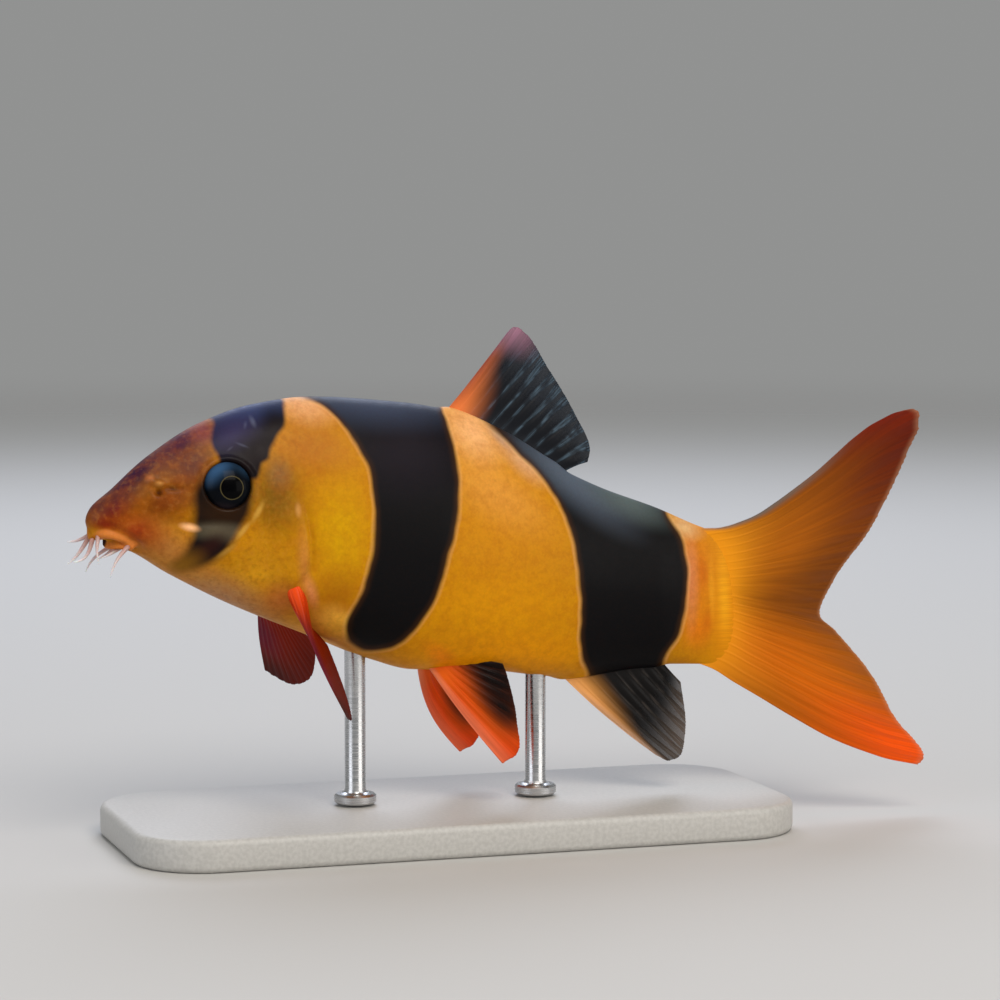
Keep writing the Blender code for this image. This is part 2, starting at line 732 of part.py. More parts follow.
def make_base(collection, finish_material, parent):
    data = bpy.data.curves.new("stand_base", "CURVE")
    data.dimensions = "2D"
    data.fill_mode = "BOTH"
    data.extrude = BASE_THICK * MM / 2
    spline = data.splines.new("POLY")
    corner_steps = 6
    corners = []
    for k, (right, far) in enumerate(((1, 1), (-1, 1), (-1, -1), (1, -1))):
        middle = Vector(
            (right * (BASE_LENGTH / 2 - BASE_CORNER), far * (BASE_WIDTH / 2 - BASE_CORNER))
        )
        for step in range(corner_steps + 1):
            turn = math.pi / 2 * (k + step / corner_steps)
            corners.append(middle + BASE_CORNER * Vector((math.cos(turn), math.sin(turn))))
    spline.points.add(len(corners) - 1)
    for node, corner in zip(spline.points, corners):
        node.co = (corner.x * MM, corner.y * MM, 0.0, 1.0)
    spline.use_cyclic_u = True
    base = add_object("stand_base", data, collection)
    base.location = (0, 0, BASE_THICK * MM / 2)
    base.parent = parent
    data.materials.append(finish_material)
    weld = base.modifiers.new("weld", "WELD")
    weld.merge_threshold = 0.00001
    edge = base.modifiers.new("edge", "BEVEL")
    edge.width = 0.5 * MM
    edge.segments = 2
    edge.limit_method = "ANGLE"


def make_rods(collection, tools, finish_material, parent):
    """Each rod is turned: a low foot on the base and a straight shank, trimmed to meet the belly."""
    foot = BASE_THICK + GAP
    for name, along in ROD_PLACES:
        place = posed(along, 0, belly(along))
        top = place.z / MM + ROD_EXTRA
        step = foot + ROD_FOOT_HEIGHT
        profile = (
            (0, top), (ROD_RADIUS, top), (ROD_RADIUS, step + ROD_COLLAR),
            (ROD_RADIUS + ROD_COLLAR, step), (ROD_FOOT_RADIUS, step), (ROD_FOOT_RADIUS, foot), (0, foot),
        )
        bm = bmesh.new()
        verts = [bm.verts.new((radius * MM, 0, height * MM)) for radius, height in profile]
        for first, second in zip(verts, verts[1:]):
            bm.edges.new((first, second))
        rod = add_object(name, mesh_from(bm, name), collection)
        rod.location = (place.x, place.y, 0)
        turned = rod.modifiers.new("turned", "SCREW")
        turned.steps = turned.render_steps = 24
        turned.use_merge_vertices = True
        turned.merge_threshold = 0.00001
        turned.use_normal_calculate = True
        bpy.context.view_layer.update()
        graph = bpy.context.evaluated_depsgraph_get()
        mesh = bpy.data.meshes.new_from_object(rod.evaluated_get(graph))
        mesh.transform(Matrix.Translation(rod.location))
        rod.modifiers.clear()
        rod.location = (0, 0, 0)
        rod.data = mesh
        bpy.context.view_layer.update()
        boolean(rod, "DIFFERENCE", tools)
        finish(rod, finish_material, Vector((place.x, place.y, foot * MM)), parent)


def main():
    for obj in list(bpy.data.objects):
        bpy.data.objects.remove(obj)
    fish = bpy.data.collections.new("clown_loach")
    bpy.context.scene.collection.children.link(fish)
    stand_point = bpy.data.objects.new("clown_loach_on_stand", None)
    fish.objects.link(stand_point)

    skin = material("orange_skin", (0.78, 0.36, 0.03), 0.4)
    finishes = {
        "amber": material("amber_fin", (0.75, 0.27, 0.02), 0.4),
        "red": material("red_fin", (0.62, 0.08, 0.015), 0.4),
        "dark": material("dark_fin", (0.03, 0.03, 0.04), 0.4),
    }
    head = make_head(fish)
    finish(head, skin, posed(0, 0, 0), stand_point)
    trunk = make_trunk(fish)
    finish(trunk, skin, posed(gill_margin(0), 0, widest_level(26)), stand_point)
    tail = make_tail(fish)
    finish(tail, skin, posed(TAIL_CUT, 0, widest_level(TAIL_CUT)), stand_point)
    make_eyes(fish, material("dark_eye", (0.01, 0.012, 0.02), 0.1), stand_point)

    tools = skin_cutters()
    make_fins(fish, tools, finishes, stand_point)
    make_barbels(fish, tools, material("pale_barbel", (0.62, 0.36, 0.3), 0.4), stand_point)
    steel = material("brushed_steel", (0.6, 0.6, 0.6), 0.35)
    make_rods(fish, tools, steel, stand_point)
    make_base(fish, material("grey_lacquer", (0.45, 0.45, 0.44), 0.4), stand_point)


main()
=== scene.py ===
"""The looks of a young clown loach: a life-size model of the swimming fish over a flat base.

Sizes are in millimetres unless a name ends in _M. The fish is described straight, by the distance
behind the tip of its snout and the height above that tip, and posed() then bends it and sets it on
its stand, in metres. The head points to -X and the left flank faces -Y.
"""

import math
from functools import partial

import bmesh
import bpy
import numpy as np
from mathutils import Matrix, Vector


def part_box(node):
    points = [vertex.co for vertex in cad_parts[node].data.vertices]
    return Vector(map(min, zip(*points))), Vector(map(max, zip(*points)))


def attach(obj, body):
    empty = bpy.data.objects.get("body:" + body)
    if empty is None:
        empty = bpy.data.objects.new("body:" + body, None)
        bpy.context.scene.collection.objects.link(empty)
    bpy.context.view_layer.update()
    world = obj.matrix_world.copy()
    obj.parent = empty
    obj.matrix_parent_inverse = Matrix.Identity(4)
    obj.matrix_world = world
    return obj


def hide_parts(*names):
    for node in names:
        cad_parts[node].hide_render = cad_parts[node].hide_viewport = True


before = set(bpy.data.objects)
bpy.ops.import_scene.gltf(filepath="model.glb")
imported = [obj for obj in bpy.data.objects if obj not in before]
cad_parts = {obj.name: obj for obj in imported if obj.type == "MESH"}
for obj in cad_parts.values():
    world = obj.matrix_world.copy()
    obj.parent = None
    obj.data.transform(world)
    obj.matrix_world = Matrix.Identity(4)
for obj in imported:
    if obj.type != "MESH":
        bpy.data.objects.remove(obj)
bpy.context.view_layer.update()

# The camera: level with the fish and a little ahead of its left flank, with a long lens, as the
# fish was seen. Its lens and distance together give the picture's mild perspective.
CAMERA_AZIMUTH, CAMERA_ELEVATION = math.radians(-18.0), math.radians(5.0)
CAMERA_DISTANCE_M = 0.42
CAMERA_AIM_M = Vector((0.005477, -0.004220, 0.041732))
CAMERA_LENS = 122.72

level = math.cos(CAMERA_ELEVATION)
away = Vector((math.sin(CAMERA_AZIMUTH) * level, -math.cos(CAMERA_AZIMUTH) * level, 0))
away.z = math.sin(CAMERA_ELEVATION)
camera_data = bpy.data.cameras.new("camera")
camera_data.lens = CAMERA_LENS
camera_data.clip_start, camera_data.clip_end = 0.01, 20.0
camera = bpy.data.objects.new("camera", camera_data)
bpy.context.scene.collection.objects.link(camera)
camera.location = CAMERA_AIM_M + away * CAMERA_DISTANCE_M
camera.rotation_euler = away.to_track_quat("Z", "Y").to_euler()
bpy.context.scene.camera = camera

# The skin: one closed surface from the lips to the root of the tail fin. A clown loach has very
# small sunken scales, so its skin is smooth and satin, and is drawn tight over the gill covers.
MM = 0.001
SNOUT_HEIGHT = 40.0
BEND_RADIUS, BEND_MIDDLE, FISH_SHIFT = 336.0, 42.0, -4.0
# The rings that cross the skin lie closest on the snout: the share of the rings, then the place.
RING_PLACES = ((0, 0), (0.03, 0.14), (0.09, 1.3), (0.26, 7.6), (0.46, 20), (0.56, 28), (1, 85))
SKIN_RINGS, SKIN_AROUND = 330, 256
# The flesh of the tail thins out between the fin's rays, further along at mid-height than at the edges.
TAIL_ROOT_START, SKIN_END, TAIL_ROOT_HALF_WIDTH = 72.5, 85.0, 0.05
TAIL_ROOT_CURVE = 2.5


def smooth_through(knots, warp=1.0):
    """A function that runs smoothly through (place, value) knots and never overshoots them.

    With a warp of 0.5 the value leaves the first knot like a square root, as on a blunt snout.
    """
    places, values = np.array(knots, float).T
    places = np.sign(places) * np.abs(places) ** warp
    steps = np.diff(places)
    slopes = np.diff(values) / steps
    tangents = np.concatenate((slopes[:1], np.zeros(len(steps) - 1), slopes[-1:]))
    for i in range(1, len(steps)):
        if slopes[i - 1] * slopes[i] > 0:
            before, after = 2 * steps[i] + steps[i - 1], steps[i] + 2 * steps[i - 1]
            tangents[i] = (before + after) / (before / slopes[i - 1] + after / slopes[i])

    def value_at(place):
        place = np.sign(place) * np.abs(place) ** warp
        place = np.clip(place, places[0], places[-1])
        i = np.clip(np.searchsorted(places, place, side="right") - 1, 0, len(steps) - 1)
        t = (place - places[i]) / steps[i]
        return (
            values[i] * (1 + 2 * t) * (1 - t) ** 2
            + values[i + 1] * t * t * (3 - 2 * t)
            + steps[i] * t * (1 - t) * (tangents[i] * (1 - t) - tangents[i + 1] * t)
        )

    return value_at


def smooth_step(value, low, high):
    """0 below low, 1 above high, and a smooth rise between them; low may be the larger."""
    t = np.clip((value - low) / (high - low), 0.0, 1.0)
    return t * t * (3 - 2 * t)


def bump_at(value, middle, reach):
    """A smooth hump of height 1 round a value."""
    return np.exp(-(((value - middle) / reach) ** 2))


def posed(straight):
    """Takes points of the straight fish, in millimetres, to their places on the stand, in metres."""
    along, across, height = np.moveaxis(np.asarray(straight, float), -1, 0)
    turn = (along - BEND_MIDDLE) / BEND_RADIUS
    radius = BEND_RADIUS + across
    x, y = radius * np.sin(turn) + FISH_SHIFT, radius * np.cos(turn) - BEND_RADIUS
    return np.stack((x, y, height + SNOUT_HEIGHT), axis=-1) * MM


back = smooth_through((
    (0, 0), (0.75, 2.05), (3.1, 3.95), (8.1, 8.1), (14.4, 11.8), (21, 13.9), (28, 14.7),
    (40, 13.8), (46, 12.7), (53, 9.7), (60.5, 5.2), (66, 2.6), (73, 0), (79, -2.6), (84, -4.2),
), warp=0.5)
belly = smooth_through((
    (0, 0), (0.3, -1.9), (1.8, -2.3), (5.3, -3.3), (10.5, -6.4), (18, -10.3), (28, -14.6),
    (36, -17.9), (41, -19.3), (50, -19.7), (61, -21), (72, -19.9), (84, -20.2),
), warp=0.5)
half_width = smooth_through((
    (0, 0), (0.6, 1.35), (2.2, 2.3), (5.5, 3.4), (10, 4.5), (16, 5.7), (24, 7.1), (34, 8),
    (43, 7.9), (56, 6.3), (66, 4.5), (76, 3.3), (84, 2.4),
), warp=0.5)
widest_level = smooth_through((
    (0, -0.2), (8, 0.4), (16, 0.2), (26, -2.4), (40, -5), (58, -8.4), (84, -12.2),
))
round_above = smooth_through(((0, 2.2), (10, 2.0), (24, 1.85), (50, 1.8), (84, 2.0)))
round_below = smooth_through(((0, 2.3), (12, 2.1), (30, 2.3), (50, 2.3), (66, 1.9), (84, 2.0)))
# The rear edge of the gill cover, at angles round the flank.
gill_margin = smooth_through((
    (-90, 20.5), (-50, 21.6), (-26, 24.6), (-4, 25.9), (22, 24.8), (48, 22.4), (90, 21.5),
))


def section_point(along, angle):
    """Points of the straight fish's skin. The angle starts at the right flank and runs over the back."""
    side, up = np.cos(angle), np.sin(angle)
    fleshy = 1 - smooth_step(along, TAIL_ROOT_START, SKIN_END)
    width = half_width(along) * fleshy + TAIL_ROOT_HALF_WIDTH * (1 - fleshy)
    along = along - TAIL_ROOT_CURVE * up**4 * smooth_step(along, TAIL_ROOT_START, SKIN_END)
    level = widest_level(along)
    reach = np.where(up >= 0, back(along) - level, level - belly(along))
    power = 2.0 / np.where(up >= 0, round_above(along), round_below(along))
    across = width * np.sign(side) * np.abs(side) ** power
    height = level + reach * np.sign(up) * np.abs(up) ** power
    return np.stack((along, across, height), axis=-1)


def on_skin(along, height, side):
    """The skin's point at this height; side is 1 for the right flank and -1 for the left."""
    level = widest_level(along)
    above = height >= level
    reach = np.where(above, back(along) - level, level - belly(along))
    roundness = np.where(above, round_above(along), round_below(along))
    share = np.minimum(np.abs(height - level) / reach, 1.0)
    across = side * half_width(along) * (1 - share**roundness) ** (1 / roundness)
    return np.stack((along + 0 * height, across, height + 0 * along), axis=-1)


def unit(vectors):
    return vectors / np.linalg.norm(vectors, axis=-1, keepdims=True)


def skin_normal(along, height, side, step=0.05):
    """The direction out of the skin there, in the posed fish."""
    here = posed(on_skin(along, height, side))
    behind = posed(on_skin(along + step, height, side)) - here
    above = posed(on_skin(along, height + step, side)) - here
    return unit(np.cross(above, behind) * side)


def new_piece(name, mesh, slot, material, *nodes):
    """Shows a finished mesh as a piece of the model that stands for some of the solid nodes."""
    piece = bpy.data.objects.new(name, mesh)
    bpy.context.scene.collection.objects.link(piece)
    mesh.materials.append(material)
    mesh.shade_smooth()
    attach(piece, "root")
    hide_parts(*nodes)
    return piece


def mesh_from(bm, name):
    mesh = bpy.data.meshes.new(name)
    bm.to_mesh(mesh)
    bm.free()
    return mesh


def points_of(mesh):
    points = np.empty(len(mesh.vertices) * 3)
    mesh.vertices.foreach_get("co", points)
    return points.reshape(-1, 3)


def move_points(mesh, points):
    mesh.vertices.foreach_set("co", np.ascontiguousarray(points, np.float32).ravel())
    mesh.update()


def normals_of(mesh):
    normals = np.empty(len(mesh.vertices) * 3)
    mesh.vertex_normals.foreach_get("vector", normals)
    return normals.reshape(-1, 3)


def keep_values(mesh, name, values):
    """Stores one number or one triple for each vertex, for the mesh's material to read."""
    kind, field = ("FLOAT", "value") if values.ndim == 1 else ("FLOAT_VECTOR", "vector")
    layer = mesh.attributes.new(name, kind, "POINT")
    layer.data.foreach_set(field, np.ascontiguousarray(values, np.float32).ravel())


def face_out(mesh):
    bm = bmesh.new()
    bm.from_mesh(mesh)
    bmesh.ops.recalc_face_normals(bm, faces=bm.faces)
    bm.to_mesh(mesh)
    bm.free()


def ball_grid(rings, around):
    """A closed ball of rings, with each point's share of the way from its first pole and its angle."""
    bm = bmesh.new()
    bmesh.ops.create_uvsphere(bm, u_segments=around, v_segments=rings, radius=1.0)
    mesh = mesh_from(bm, "ball")
    x, y, z = np.clip(points_of(mesh), -1, 1).T
    return mesh, np.arccos(z) / math.pi, np.arctan2(y, x)


skin_mesh, ring_share, ring_angle = ball_grid(SKIN_RINGS, SKIN_AROUND)
skin_mesh.name = "skin"
straight = section_point(smooth_through(RING_PLACES)(ring_share), ring_angle)
move_points(skin_mesh, posed(straight))
face_out(skin_mesh)
skin_out = normals_of(skin_mesh)
skin_along, skin_across, skin_level = straight.T
skin_side = np.where(skin_across < 0, -1, 1)

# Gill covers: thin bony plates under the skin, which stand out a little towards their rear edge and
# drop there into the gill slit. The skin folds into the slit from both sides.
COVER_RISE, COVER_WIDTH, COVER_END = 0.45, 7.0, -0.15
SLIT_DEPTH, SLIT_WIDTH, SLIT_BEHIND = 0.3, 0.45, 0.35
# The cover's edge is free between these angles round the flank, in degrees.
COVER_LOW, COVER_HIGH, COVER_FADE = -29.0, 12.0, 9.0

skin_tilt = np.degrees(np.arcsin(np.sin(ring_angle)))
behind_gill = skin_along - gill_margin(skin_tilt)
cover_side = smooth_step(skin_tilt, COVER_LOW - COVER_FADE, COVER_LOW + COVER_FADE)
cover_side *= smooth_step(skin_tilt, COVER_HIGH + COVER_FADE, COVER_HIGH - COVER_FADE)
cover = smooth_step(behind_gill, -COVER_WIDTH, -SLIT_WIDTH) * smooth_step(behind_gill, SLIT_BEHIND, COVER_END)
slit = bump_at(behind_gill, SLIT_BEHIND, SLIT_WIDTH)
skin_lift = (COVER_RISE * cover - SLIT_DEPTH * slit) * cover_side

# Cheek and crown: the skin sinks where it crosses the edge of the preopercle, swells over the jaw
# muscle, and dips at each nostril behind a low flap. Along the fins it climbs into a low sheath.
# Each soft oval has its middle and its reach in the side view, and its rise: jaw muscle, edge of the
# preopercle, cheek, groove of the folded spine, root of the pectoral, nostril flaps, nostril, groove.
HEAD_RELIEF = (
    (16.5, -3.2, 3.6, 2.4, 0.35), (20.6, -1.8, 0.8, 3.6, -0.22), (10.6, 1.6, 2.6, 1.6, 0.25),
    (13.2, 0.1, 3.6, 0.5, -0.25), (25.5, -8.5, 1.8, 2.2, 0.25), (7.3, 5.3, 0.5, 0.45, 0.32),
    (8.2, 4.9, 0.55, 0.32, 0.34), (8, 3.95, 0.42, 0.36, -0.6), (9.6, 4.35, 1.2, 0.3, -0.22),
)
# The sheaths: where each starts and ends, and 1 for the back or -1 for the belly.
SHEATHS = ((45.5, 60.5, 1), (60.0, 73.5, -1))
SHEATH_RISE, SHEATH_HALF_WIDTH = 0.45, 0.9

for along, height, reach_along, reach_height, rise in HEAD_RELIEF:
    skin_lift += rise * bump_at(skin_along, along, reach_along) * bump_at(skin_level, height, reach_height)
for start, end, face in SHEATHS:
    near_fin = smooth_step(skin_along, start - 1.5, start + 1) * smooth_step(skin_along, end + 1.5, end - 1)
    sheath = near_fin * bump_at(skin_across, 0, SHEATH_HALF_WIDTH)
    skin_lift += SHEATH_RISE * sheath * (np.sign(np.sin(ring_angle)) == face)

# Lips: soft rolls of flesh round a small mouth that opens down and forward under the snout. The skin
# swells over two curved tubes, with a crease beside each, and sinks between them into the mouth.
UPPER_LIP = (
    (0, (5.1, 2.1, -2.7)), (0.35, (3.8, 2.2, -1.75)), (0.7, (1.9, 1.75, -1.05)), (1, (0.75, 0, -1.15)),
)
LOWER_LIP = ((0, (5.1, 1.95, -2.85)), (0.5, (3.4, 1.5, -2.6)), (1, (2.5, 0, -2.45)))
UPPER_LIP_RADIUS, LOWER_LIP_RADIUS, LIP_CREASE = 0.6, 0.48, 0.22
LIP_CREASE_WIDTH, LIP_MOST = 0.5, 1.3
LIP_CORNER_SHARE = 0.55
MOUTH_MIDDLE, MOUTH_RADIUS, MOUTH_DEPTH = (1.9, 0, -2.0), 1.1, 0.6
MOUTH_AXIS = unit(np.array((0.25, 0, 1)))
SNOUT_LENGTH, SNOUT_TOP = 8, 1
LIP_STEPS = 121


def lip_line(half):
    """Points round a U from one corner of the mouth, past the front, to the other."""
    place = np.linspace(-1, 1, LIP_STEPS)
    share = 1 - np.abs(place)
    along, across, height = (smooth_through([(at, p[i]) for at, p in half])(share) for i in range(3))
    return posed(np.stack((along, across * np.sign(place), height), axis=-1))


def lift_over_tube(points, out, line, radii):
    """How far each point moves out to lie on a tube round a line, or 0 where it misses the tube."""
    offsets = points[:, None, :] - line[None, :, :]
    distance = np.einsum("ijk,ijk->ij", offsets, offsets)
    nearest = distance.argmin(axis=1)
    rows = np.arange(len(points))
    ahead = np.einsum("ij,ij->i", offsets[rows, nearest], out)
    reach = ahead**2 + radii[nearest] ** 2 - distance[rows, nearest]
    lift = -ahead + np.sqrt(np.maximum(reach, 0))
    return np.where((reach > 0) & (lift > 0), lift, 0.0), np.sqrt(distance[rows, nearest])


skin_points = posed(straight) + skin_out * (skin_lift * MM)[:, None]
snout = np.flatnonzero((skin_along < SNOUT_LENGTH) & (skin_level < SNOUT_TOP))
from_mouth = skin_points[snout] - posed(MOUTH_MIDDLE)
rise = from_mouth @ MOUTH_AXIS
wide = np.linalg.norm(from_mouth - rise[:, None] * MOUTH_AXIS, axis=1) / (MOUTH_RADIUS * MM)
hollow = MOUTH_DEPTH * smooth_step(wide, 1.1, 0.25) * smooth_step(skin_level[snout], 0.2, -0.9)
skin_points[snout] += MOUTH_AXIS * (hollow * MM)[:, None]
lip_round = LIP_CORNER_SHARE + (1 - LIP_CORNER_SHARE) * np.sin(np.linspace(0, math.pi, LIP_STEPS))
on_lip = np.zeros(len(skin_points))
for half, radius in ((UPPER_LIP, UPPER_LIP_RADIUS), (LOWER_LIP, LOWER_LIP_RADIUS)):
    radii = radius * MM * lip_round
    lift, distance = lift_over_tube(skin_points[snout], skin_out[snout], lip_line(half), radii)
    crease = bump_at(distance, radius * 1.7 * MM, LIP_CREASE_WIDTH * MM)
    rise = np.minimum(lift, LIP_MOST * MM) - LIP_CREASE * MM * crease
    skin_points[snout] += skin_out[snout] * rise[:, None]
    on_roll = smooth_step(distance, radius * 1.5 * MM, radius * 0.8 * MM)
    on_lip[snout] = np.maximum(on_lip[snout], on_roll)
# Where the skin sinks into the hollow of the mouth, it is painted dark as painted shade.
shade_in_mouth = np.zeros(len(skin_points))
shade_in_mouth[snout] = smooth_step(hollow, 0.1, 0.4) * (1 - on_lip[snout])

# Eye sockets: the skin rises to a soft rim round the eye. Inside the rim it turns in and runs under
# the eyeball, so that no gap shows between them.
EYE_ALONG, EYE_LEVEL, EYE_RADIUS, EYE_HALF_DEPTH, EYE_SINK = 16.2, 4.62, 2.95, 1.75, 0.85
RIM_REACH, RIM_WIDTH, RIM_RISE, RIM_DROP = EYE_RADIUS + 0.25, 0.4, 0.24, 0.5
SOCKET_RADIUS, SOCKET_GAP = EYE_RADIUS + 0.1, 0.15
TURN_IN, UNDER_EYEBALL = EYE_RADIUS - 0.35, EYE_RADIUS - 0.6

eyes = {}
round_eye = np.zeros(len(skin_points))
for side, word in ((-1, "left"), (1, "right")):
    axis = skin_normal(EYE_ALONG, EYE_LEVEL, side)
    middle = posed(on_skin(EYE_ALONG, EYE_LEVEL, side)) - axis * EYE_SINK * MM
    eyes[word] = middle, axis
    near = np.flatnonzero((skin_side == side) & (abs(skin_along - EYE_ALONG) < 2 * EYE_RADIUS))
    offset = skin_points[near] - middle
    rise = offset @ axis
    reach = np.linalg.norm(offset - rise[:, None] * axis, axis=1) / MM
    under = -(EYE_HALF_DEPTH + SOCKET_GAP) * np.sqrt(np.maximum(1 - (reach / SOCKET_RADIUS) ** 2, 0))
    rim = RIM_RISE * bump_at(reach, RIM_REACH, RIM_WIDTH)
    rim -= RIM_DROP * smooth_step(reach, SOCKET_RADIUS, TURN_IN)
    sink = smooth_step(reach, TURN_IN, UNDER_EYEBALL)
    skin_points[near] += axis * (rim * MM * (1 - sink) + (under * MM - rise) * sink)[:, None]
    round_eye[near] = smooth_step(reach, EYE_RADIUS + 0.15, EYE_RADIUS - 0.3)

move_points(skin_mesh, skin_points)
bm = bmesh.new()
bm.from_mesh(skin_mesh)
bm.verts.ensure_lookup_table()
for turn in range(2):
    bmesh.ops.smooth_vert(
        bm, verts=[bm.verts[i] for i in snout], factor=0.5, use_axis_x=True, use_axis_y=True, use_axis_z=True
    )
bm.to_mesh(skin_mesh)
bm.free()

# The markings of the skin, each a closed outline in the side view. A band runs over the back, so its
# outline passes above it. Each vertex keeps its distance inside each outline.
MARKING_OUTLINES = {
    "nape_patch": (
        (15.6, 16), (15.7, 12.3), (15.3, 11.2), (14.8, 10), (14.9, 9), (15.4, 8.1), (15.6, 6.5), (17, 5.6),
        (19, 5.2), (19.9, 5.4), (20.3, 6.3), (20.6, 7.1), (21.4, 7.7), (21.8, 8.7), (22.8, 10.1),
        (23.8, 11.2), (24.3, 12.6), (24.7, 14.3), (24.9, 16),
    ),
    "under_eye": (
        (12.3, 4), (12.1, 1.5), (11.9, -0.8), (11.5, -2), (10.7, -3.6), (9.9, -4.8), (10.6, -5.9),
        (12.6, -5.5), (14.7, -4.3), (16.3, -2.7), (17.4, -1.1), (18.3, 0.5), (18.9, 2.2), (19.1, 4.2),
        (18.7, 6), (14, 6),
    ),
    "band_2": (
        (25.6, 17), (25.6, 15.2), (28.3, 14.3), (30.5, 12.5), (33, 8.5), (34.1, 5.4), (34.25, 2),
        (34.15, -1), (33.7, -4.7), (32.3, -9.3), (31.4, -11.5), (31.3, -13.5), (32.2, -15.2), (34.3, -16.3),
        (36.6, -16.1), (38.6, -14.9), (41.1, -11.8), (42.6, -8.6), (43.7, -4.8), (45.1, -0.5), (45.7, 4.5),
        (45.5, 8.5), (45, 12.4), (44.7, 17),
    ),
    "band_3": (
        (45.5, 15.5), (48.8, 12.4), (51.4, 10.2), (53.3, 8.5), (56.5, 5.3), (58.7, 2.3), (60.45, -1.6),
        (61.25, -5.5), (61.8, -10.9), (62, -15.4), (62.6, -18.4), (64.2, -21), (66, -24), (73.6, -24),
        (73.9, -19), (75.3, -16.2), (76.3, -13), (76.6, -9.5), (76.5, -6.4), (75.8, -3.5), (74.3, -1),
        (73.6, 3), (60, 12), (50, 16),
    ),
}


def closed_curve(outline, steps=8):
    """The smooth closed curve through an outline's points."""
    points = np.array(outline, float)
    before, after, last = np.roll(points, 1, 0), np.roll(points, -1, 0), np.roll(points, -2, 0)
    t = np.arange(steps)[:, None, None] / steps
    curve = 0.5 * (
        2 * points
        + (after - before) * t
        + (2 * before - 5 * points + 4 * after - last) * t**2
        + (3 * points - before - 3 * after + last) * t**3
    )
    return curve.transpose(1, 0, 2).reshape(-1, 2)


def inside_by(outline, along, height):
    """How many millimetres inside a closed outline each point lies, less than 0 outside it."""
    curve = closed_curve(outline)
    nearest = np.full(len(along), np.inf)
    inside = np.zeros(len(along), bool)
    for (x1, y1), (x2, y2) in zip(curve, np.roll(curve, -1, 0)):
        dx, dy = x2 - x1, y2 - y1
        t = np.clip(((along - x1) * dx + (height - y1) * dy) / (dx * dx + dy * dy + 1e-9), 0, 1)
        nearest = np.minimum(nearest, np.hypot(along - x1 - t * dx, height - y1 - t * dy))
        crosses = (y1 > height) != (y2 > height)
        inside ^= crosses & (along < x1 + (height - y1) * dx / (dy or 1e-9))
    return np.where(inside, nearest, -nearest)


side_view = np.stack((skin_along, skin_level, np.abs(skin_across)), axis=-1)
for name, values in (
    ("side_view", side_view), ("on_lip", on_lip), ("shade_in_mouth", shade_in_mouth), ("round_eye", round_eye),
):
    keep_values(skin_mesh, name, values)
for name, outline in MARKING_OUTLINES.items():
    keep_values(skin_mesh, name, inside_by(outline, skin_along, skin_level))


def colour(hex_code):
    """Linear colour from an sRGB hex value."""
    channels = [int(hex_code[i : i + 2], 16) / 255 for i in (1, 3, 5)]
    linear = [c / 12.92 if c <= 0.04045 else ((c + 0.055) / 1.055) ** 2.4 for c in channels]
    return (*linear, 1.0)


def fill(node, inputs):
    """Gives a node's inputs, by name or by number, a value each or a socket to link."""
    for key, value in inputs.items():
        if isinstance(value, bpy.types.NodeSocket):
            node.id_data.links.new(value, node.inputs[key])
        else:
            node.inputs[key].default_value = value


def add_node(tree, kind, inputs, output=0, **settings):
    """Adds a node with its settings and its inputs, by name or in its own order; gives one output."""
    node = tree.nodes.new("ShaderNode" + kind)
    for name, value in settings.items():
        setattr(node, name, value)
    fill(node, inputs if isinstance(inputs, dict) else dict(enumerate(inputs)))
    return node.outputs[output]


def new_material(name):
    """A new material, its principled shader, and add_node for its own nodes."""
    made = bpy.data.materials.new(name)
    made.use_nodes = True
    return made, made.node_tree.nodes["Principled BSDF"], partial(add_node, made.node_tree)


# A MapRange rises smoothly between two values. Where its top is another socket, it is their product.
SMOOTH = {"interpolation_type": "SMOOTHSTEP"}
THROUGH_THE_FISH = 1000


def airbrush(add, ground, place, passes):
    """Sprays soft ovals of colour: each has its middle, its two reaches, tilt, colour and strength."""
    for x, y, reach_x, reach_y, tilt, hex_code, strength in passes:
        oval = (place, (x, y, 0), (0, 0, math.radians(tilt)), (reach_x, reach_y, THROUGH_THE_FISH))
        local = add("Mapping", oval, vector_type="TEXTURE")
        distance = add("VectorMath", (local,), "Value", operation="LENGTH")
        spray = add("MapRange", (distance, 1.0, 0.0, 0.0, strength), **SMOOTH)
        ground = add("MixRGB", (spray, ground, colour(hex_code)))
    return ground


